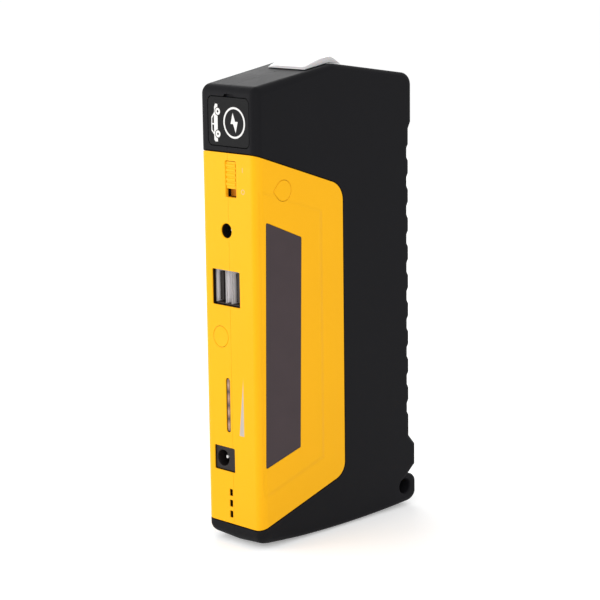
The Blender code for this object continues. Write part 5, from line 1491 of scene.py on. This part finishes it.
class PACK_OT_finishes(bpy.types.Operator):
    """Gives every node that stays as it is the finish of its kind."""

    bl_idname = "starter_pack.finishes"
    bl_label = "Finishes of the inner parts"

    def execute(self, context):
        screws = [f"case_screw_{number}" for number in range(1, 6)]
        kinds = {
            moulded("socket_blue", (0.015, 0.06, 0.33), 0.4): ["engine_socket"],
            bright_metal("contact_brass", (0.76, 0.53, 0.20), 0.18): ["contact_positive", "contact_negative"],
            cable_sleeve("lead_black", (0.014, 0.014, 0.015)): ["lead_negative"],
            cable_sleeve("lead_red", (0.48, 0.015, 0.012)): ["lead_positive", "torch_wire"],
            pouch_foil("cell_foil", (0.66, 0.67, 0.69)): [f"battery_cell_{number}" for number in (1, 2, 3)],
            bright_metal("link_nickel", (0.70, 0.68, 0.63), 0.26): ["cell_link_1", "cell_link_2"],
            foam("pad_foam", (0.035, 0.035, 0.038)): ["foam_pad_front", "foam_pad_back"],
            moulded("tongue_dark", (0.024, 0.019, 0.019), 0.35): ["usb_tongue_1", "usb_tongue_2"],
            bright_metal("screw_steel", (0.62, 0.61, 0.60), 0.24): [
                "inlet_pin", "outlet_pin", "board_screw_1", "board_screw_2", *screws,
            ],
            moulded("part_black", (0.012, 0.012, 0.013), 0.4): ["outlet_jack", "button_plunger", "sounder"],
            moulded("part_grey", (0.10, 0.10, 0.105), 0.5): ["button_switch"],
            moulded("slider_orange", (0.72, 0.25, 0.012), 0.5): ["switch_body"],
            moulded("relay_white", (0.74, 0.74, 0.71), 0.38): ["relay"],
            moulded("coil_ferrite", (0.05, 0.048, 0.046), 0.7, 1.2): ["coil"],
            sleeved_can("can_sleeve", (0.015, 0.02, 0.05)): ["capacitor"],
            circuit_board("board_green", (0.008, 0.09, 0.03)): ["control_board"],
            circuit_board("board_white", (0.42, 0.42, 0.41)): ["torch_board"],
        }
        for kind, count, base in (("torch_led", 3, (0.9, 0.72, 0.12)), ("level_light", 4, (0.75, 0.85, 0.9))):
            for node in (f"{kind}_{number}" for number in range(1, count + 1)):
                kinds[light_chip(f"{node}_chip", base, middle(node))] = [node]
        named = {node: finish for finish, nodes in kinds.items() for node in nodes}
        for node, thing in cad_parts.items():
            if thing.hide_render:
                continue
            if node not in named:
                raise RuntimeError(f"{node} has no finish")
            for place in thing.material_slots:
                place.material = named[node]
            if not thing.material_slots:
                thing.data.materials.append(named[node])
        return {"FINISHED"}


# The stage


def aimed(place, target):
    """Matrix of a lamp at a place that looks at a target."""
    look = (Vector(target) - Vector(place)).to_track_quat("-Z", "Y")
    return Matrix.Translation(place) @ look.to_matrix().to_4x4()


def lamp(name, place, target, size, power):
    data = bpy.data.lights.new(name, "AREA")
    data.shape = "SQUARE"
    data.size = size
    data.energy = power
    made = bpy.data.objects.new(name, data)
    made.matrix_world = aimed(place, target)
    bpy.context.scene.collection.objects.link(made)


FLOOR_REACH = 12.0
TARGET = (0.0, 0.0, 0.09)
LAMPS = (  # setting, place, target, size
    ("key", (-0.66, 0.60, 0.16), TARGET, 0.7),
    ("fill", (-0.48, -0.78, 0.42), TARGET, 0.7),
    ("rim", (0.62, 0.78, 0.62), (-0.02, 0.0, 0.18), 0.5),
)


class PACK_OT_stage(bpy.types.Operator):
    """Sets up the pale floor, the soft room, the lamps and the camera."""

    bl_idname = "starter_pack.stage"
    bl_label = "Stage"

    def execute(self, context):
        stage = settings(context)[4]
        scene = context.scene
        scene.view_settings.view_transform = "Standard"
        self.world(scene, stage)
        self.floor()
        for name, place, target, size in LAMPS:
            lamp(f"{name}_lamp", place, target, size, getattr(stage, name))
        self.camera(scene, stage)
        return {"FINISHED"}

    def world(self, scene, stage):
        """White to the camera, to reflections and through glass; a plain grey light to everything else."""
        scene.world = bpy.data.worlds.new("room")
        scene.world.use_nodes = True
        nodes = Nodes(scene.world.node_tree)
        shares = {"Value": nodes.seen(), "To Min": stage.ambient, "To Max": 1.0}
        level = nodes.add("ShaderNodeMapRange", None, shares)
        room = nodes.add("ShaderNodeBackground", None, {"Color": (1.0, 1.0, 1.0, 1.0), "Strength": level})
        nodes.node("ShaderNodeOutputWorld", None, {"Surface": room})

    def floor(self):
        """A wide floor of a near white colour, topped up to white for the camera and reflections alone."""
        spots = FLOOR_REACH * np.array([(-1, -1, 0), (1, -1, 0), (1, 1, 0), (-1, 1, 0)])
        made = piece_of("floor", [(spots, np.array([[0, 1, 2, 3]]), [])])
        finish = Finish("floor_white", Roughness=0.9, Specular_IOR_Level=0.0, Emission_Strength=1.0)
        glow = finish.mixed(finish.seen(), (0.0, 0.0, 0.0), (0.3, 0.3, 0.3))
        made.data.materials.append(finish.feed(Base_Color=(0.9, 0.9, 0.9), Emission_Color=glow))

    def camera(self, scene, stage):
        """Camera axes from its turn, drop and roll, with the photograph's focal length."""
        turn, drop, roll = stage.camera_turn, stage.camera_drop, stage.camera_roll
        forward = Vector((math.sin(turn) * math.cos(drop), math.cos(turn) * math.cos(drop), -math.sin(drop)))
        right = Vector((math.cos(turn), -math.sin(turn), 0.0))
        up = right.cross(forward)
        c, s = math.cos(roll), math.sin(roll)
        side, top = c * right + s * up, c * up - s * right
        data = bpy.data.cameras.new("camera")
        data.sensor_width = 36.0
        data.lens = stage.focal
        data.clip_start = 0.01
        made = bpy.data.objects.new("camera", data)
        axes = Matrix((side, top, -forward)).transposed()
        made.matrix_world = Matrix.Translation(stage.camera_place) @ axes.to_4x4()
        scene.collection.objects.link(made)
        scene.camera = made


class PACK_PT_panel(bpy.types.Panel):
    """Lists the steps that build the pack, and its main settings."""

    bl_label = "Starter Pack"
    bl_idname = "PACK_PT_panel"
    bl_space_type = "VIEW_3D"
    bl_region_type = "UI"
    bl_category = "Starter Pack"

    def draw(self, context):
        column = self.layout.column()
        for operator in OPERATORS:
            column.operator(operator.bl_idname)
        for group, owner in zip(SETTINGS.values(), settings(context)):
            section = self.layout.box()
            section.label(text=group.__name__)
            for name in group.__annotations__:
                section.prop(owner, name)


SETTINGS = {
    "pack_case": CaseSizes, "pack_panel": PanelSizes, "pack_colours": PackColours, "pack_torch": TorchSizes,
    "pack_stage": StageSettings,
}
OPERATORS = (
    PACK_OT_case, PACK_OT_panels, PACK_OT_plate, PACK_OT_cover, PACK_OT_button, PACK_OT_knob, PACK_OT_window,
    PACK_OT_inlet, PACK_OT_outlet_case, PACK_OT_torch, PACK_OT_finishes, PACK_OT_stage,
)


def settings(context):
    """The scene's settings, in the order of SETTINGS."""
    return [getattr(context.scene, owner) for owner in SETTINGS]


def register():
    for owner, group in SETTINGS.items():
        bpy.utils.register_class(group)
        setattr(bpy.types.Scene, owner, bpy.props.PointerProperty(type=group))
    for made in (*OPERATORS, PACK_PT_panel):
        bpy.utils.register_class(made)


def unregister():
    for made in reversed((*OPERATORS, PACK_PT_panel)):
        bpy.utils.unregister_class(made)
    for owner, group in SETTINGS.items():
        delattr(bpy.types.Scene, owner)
        bpy.utils.unregister_class(group)


def main():
    register()
    for operator in OPERATORS:
        area, name = operator.bl_idname.split(".")
        getattr(getattr(bpy.ops, area), name)()


if __name__ == "__main__":
    main()
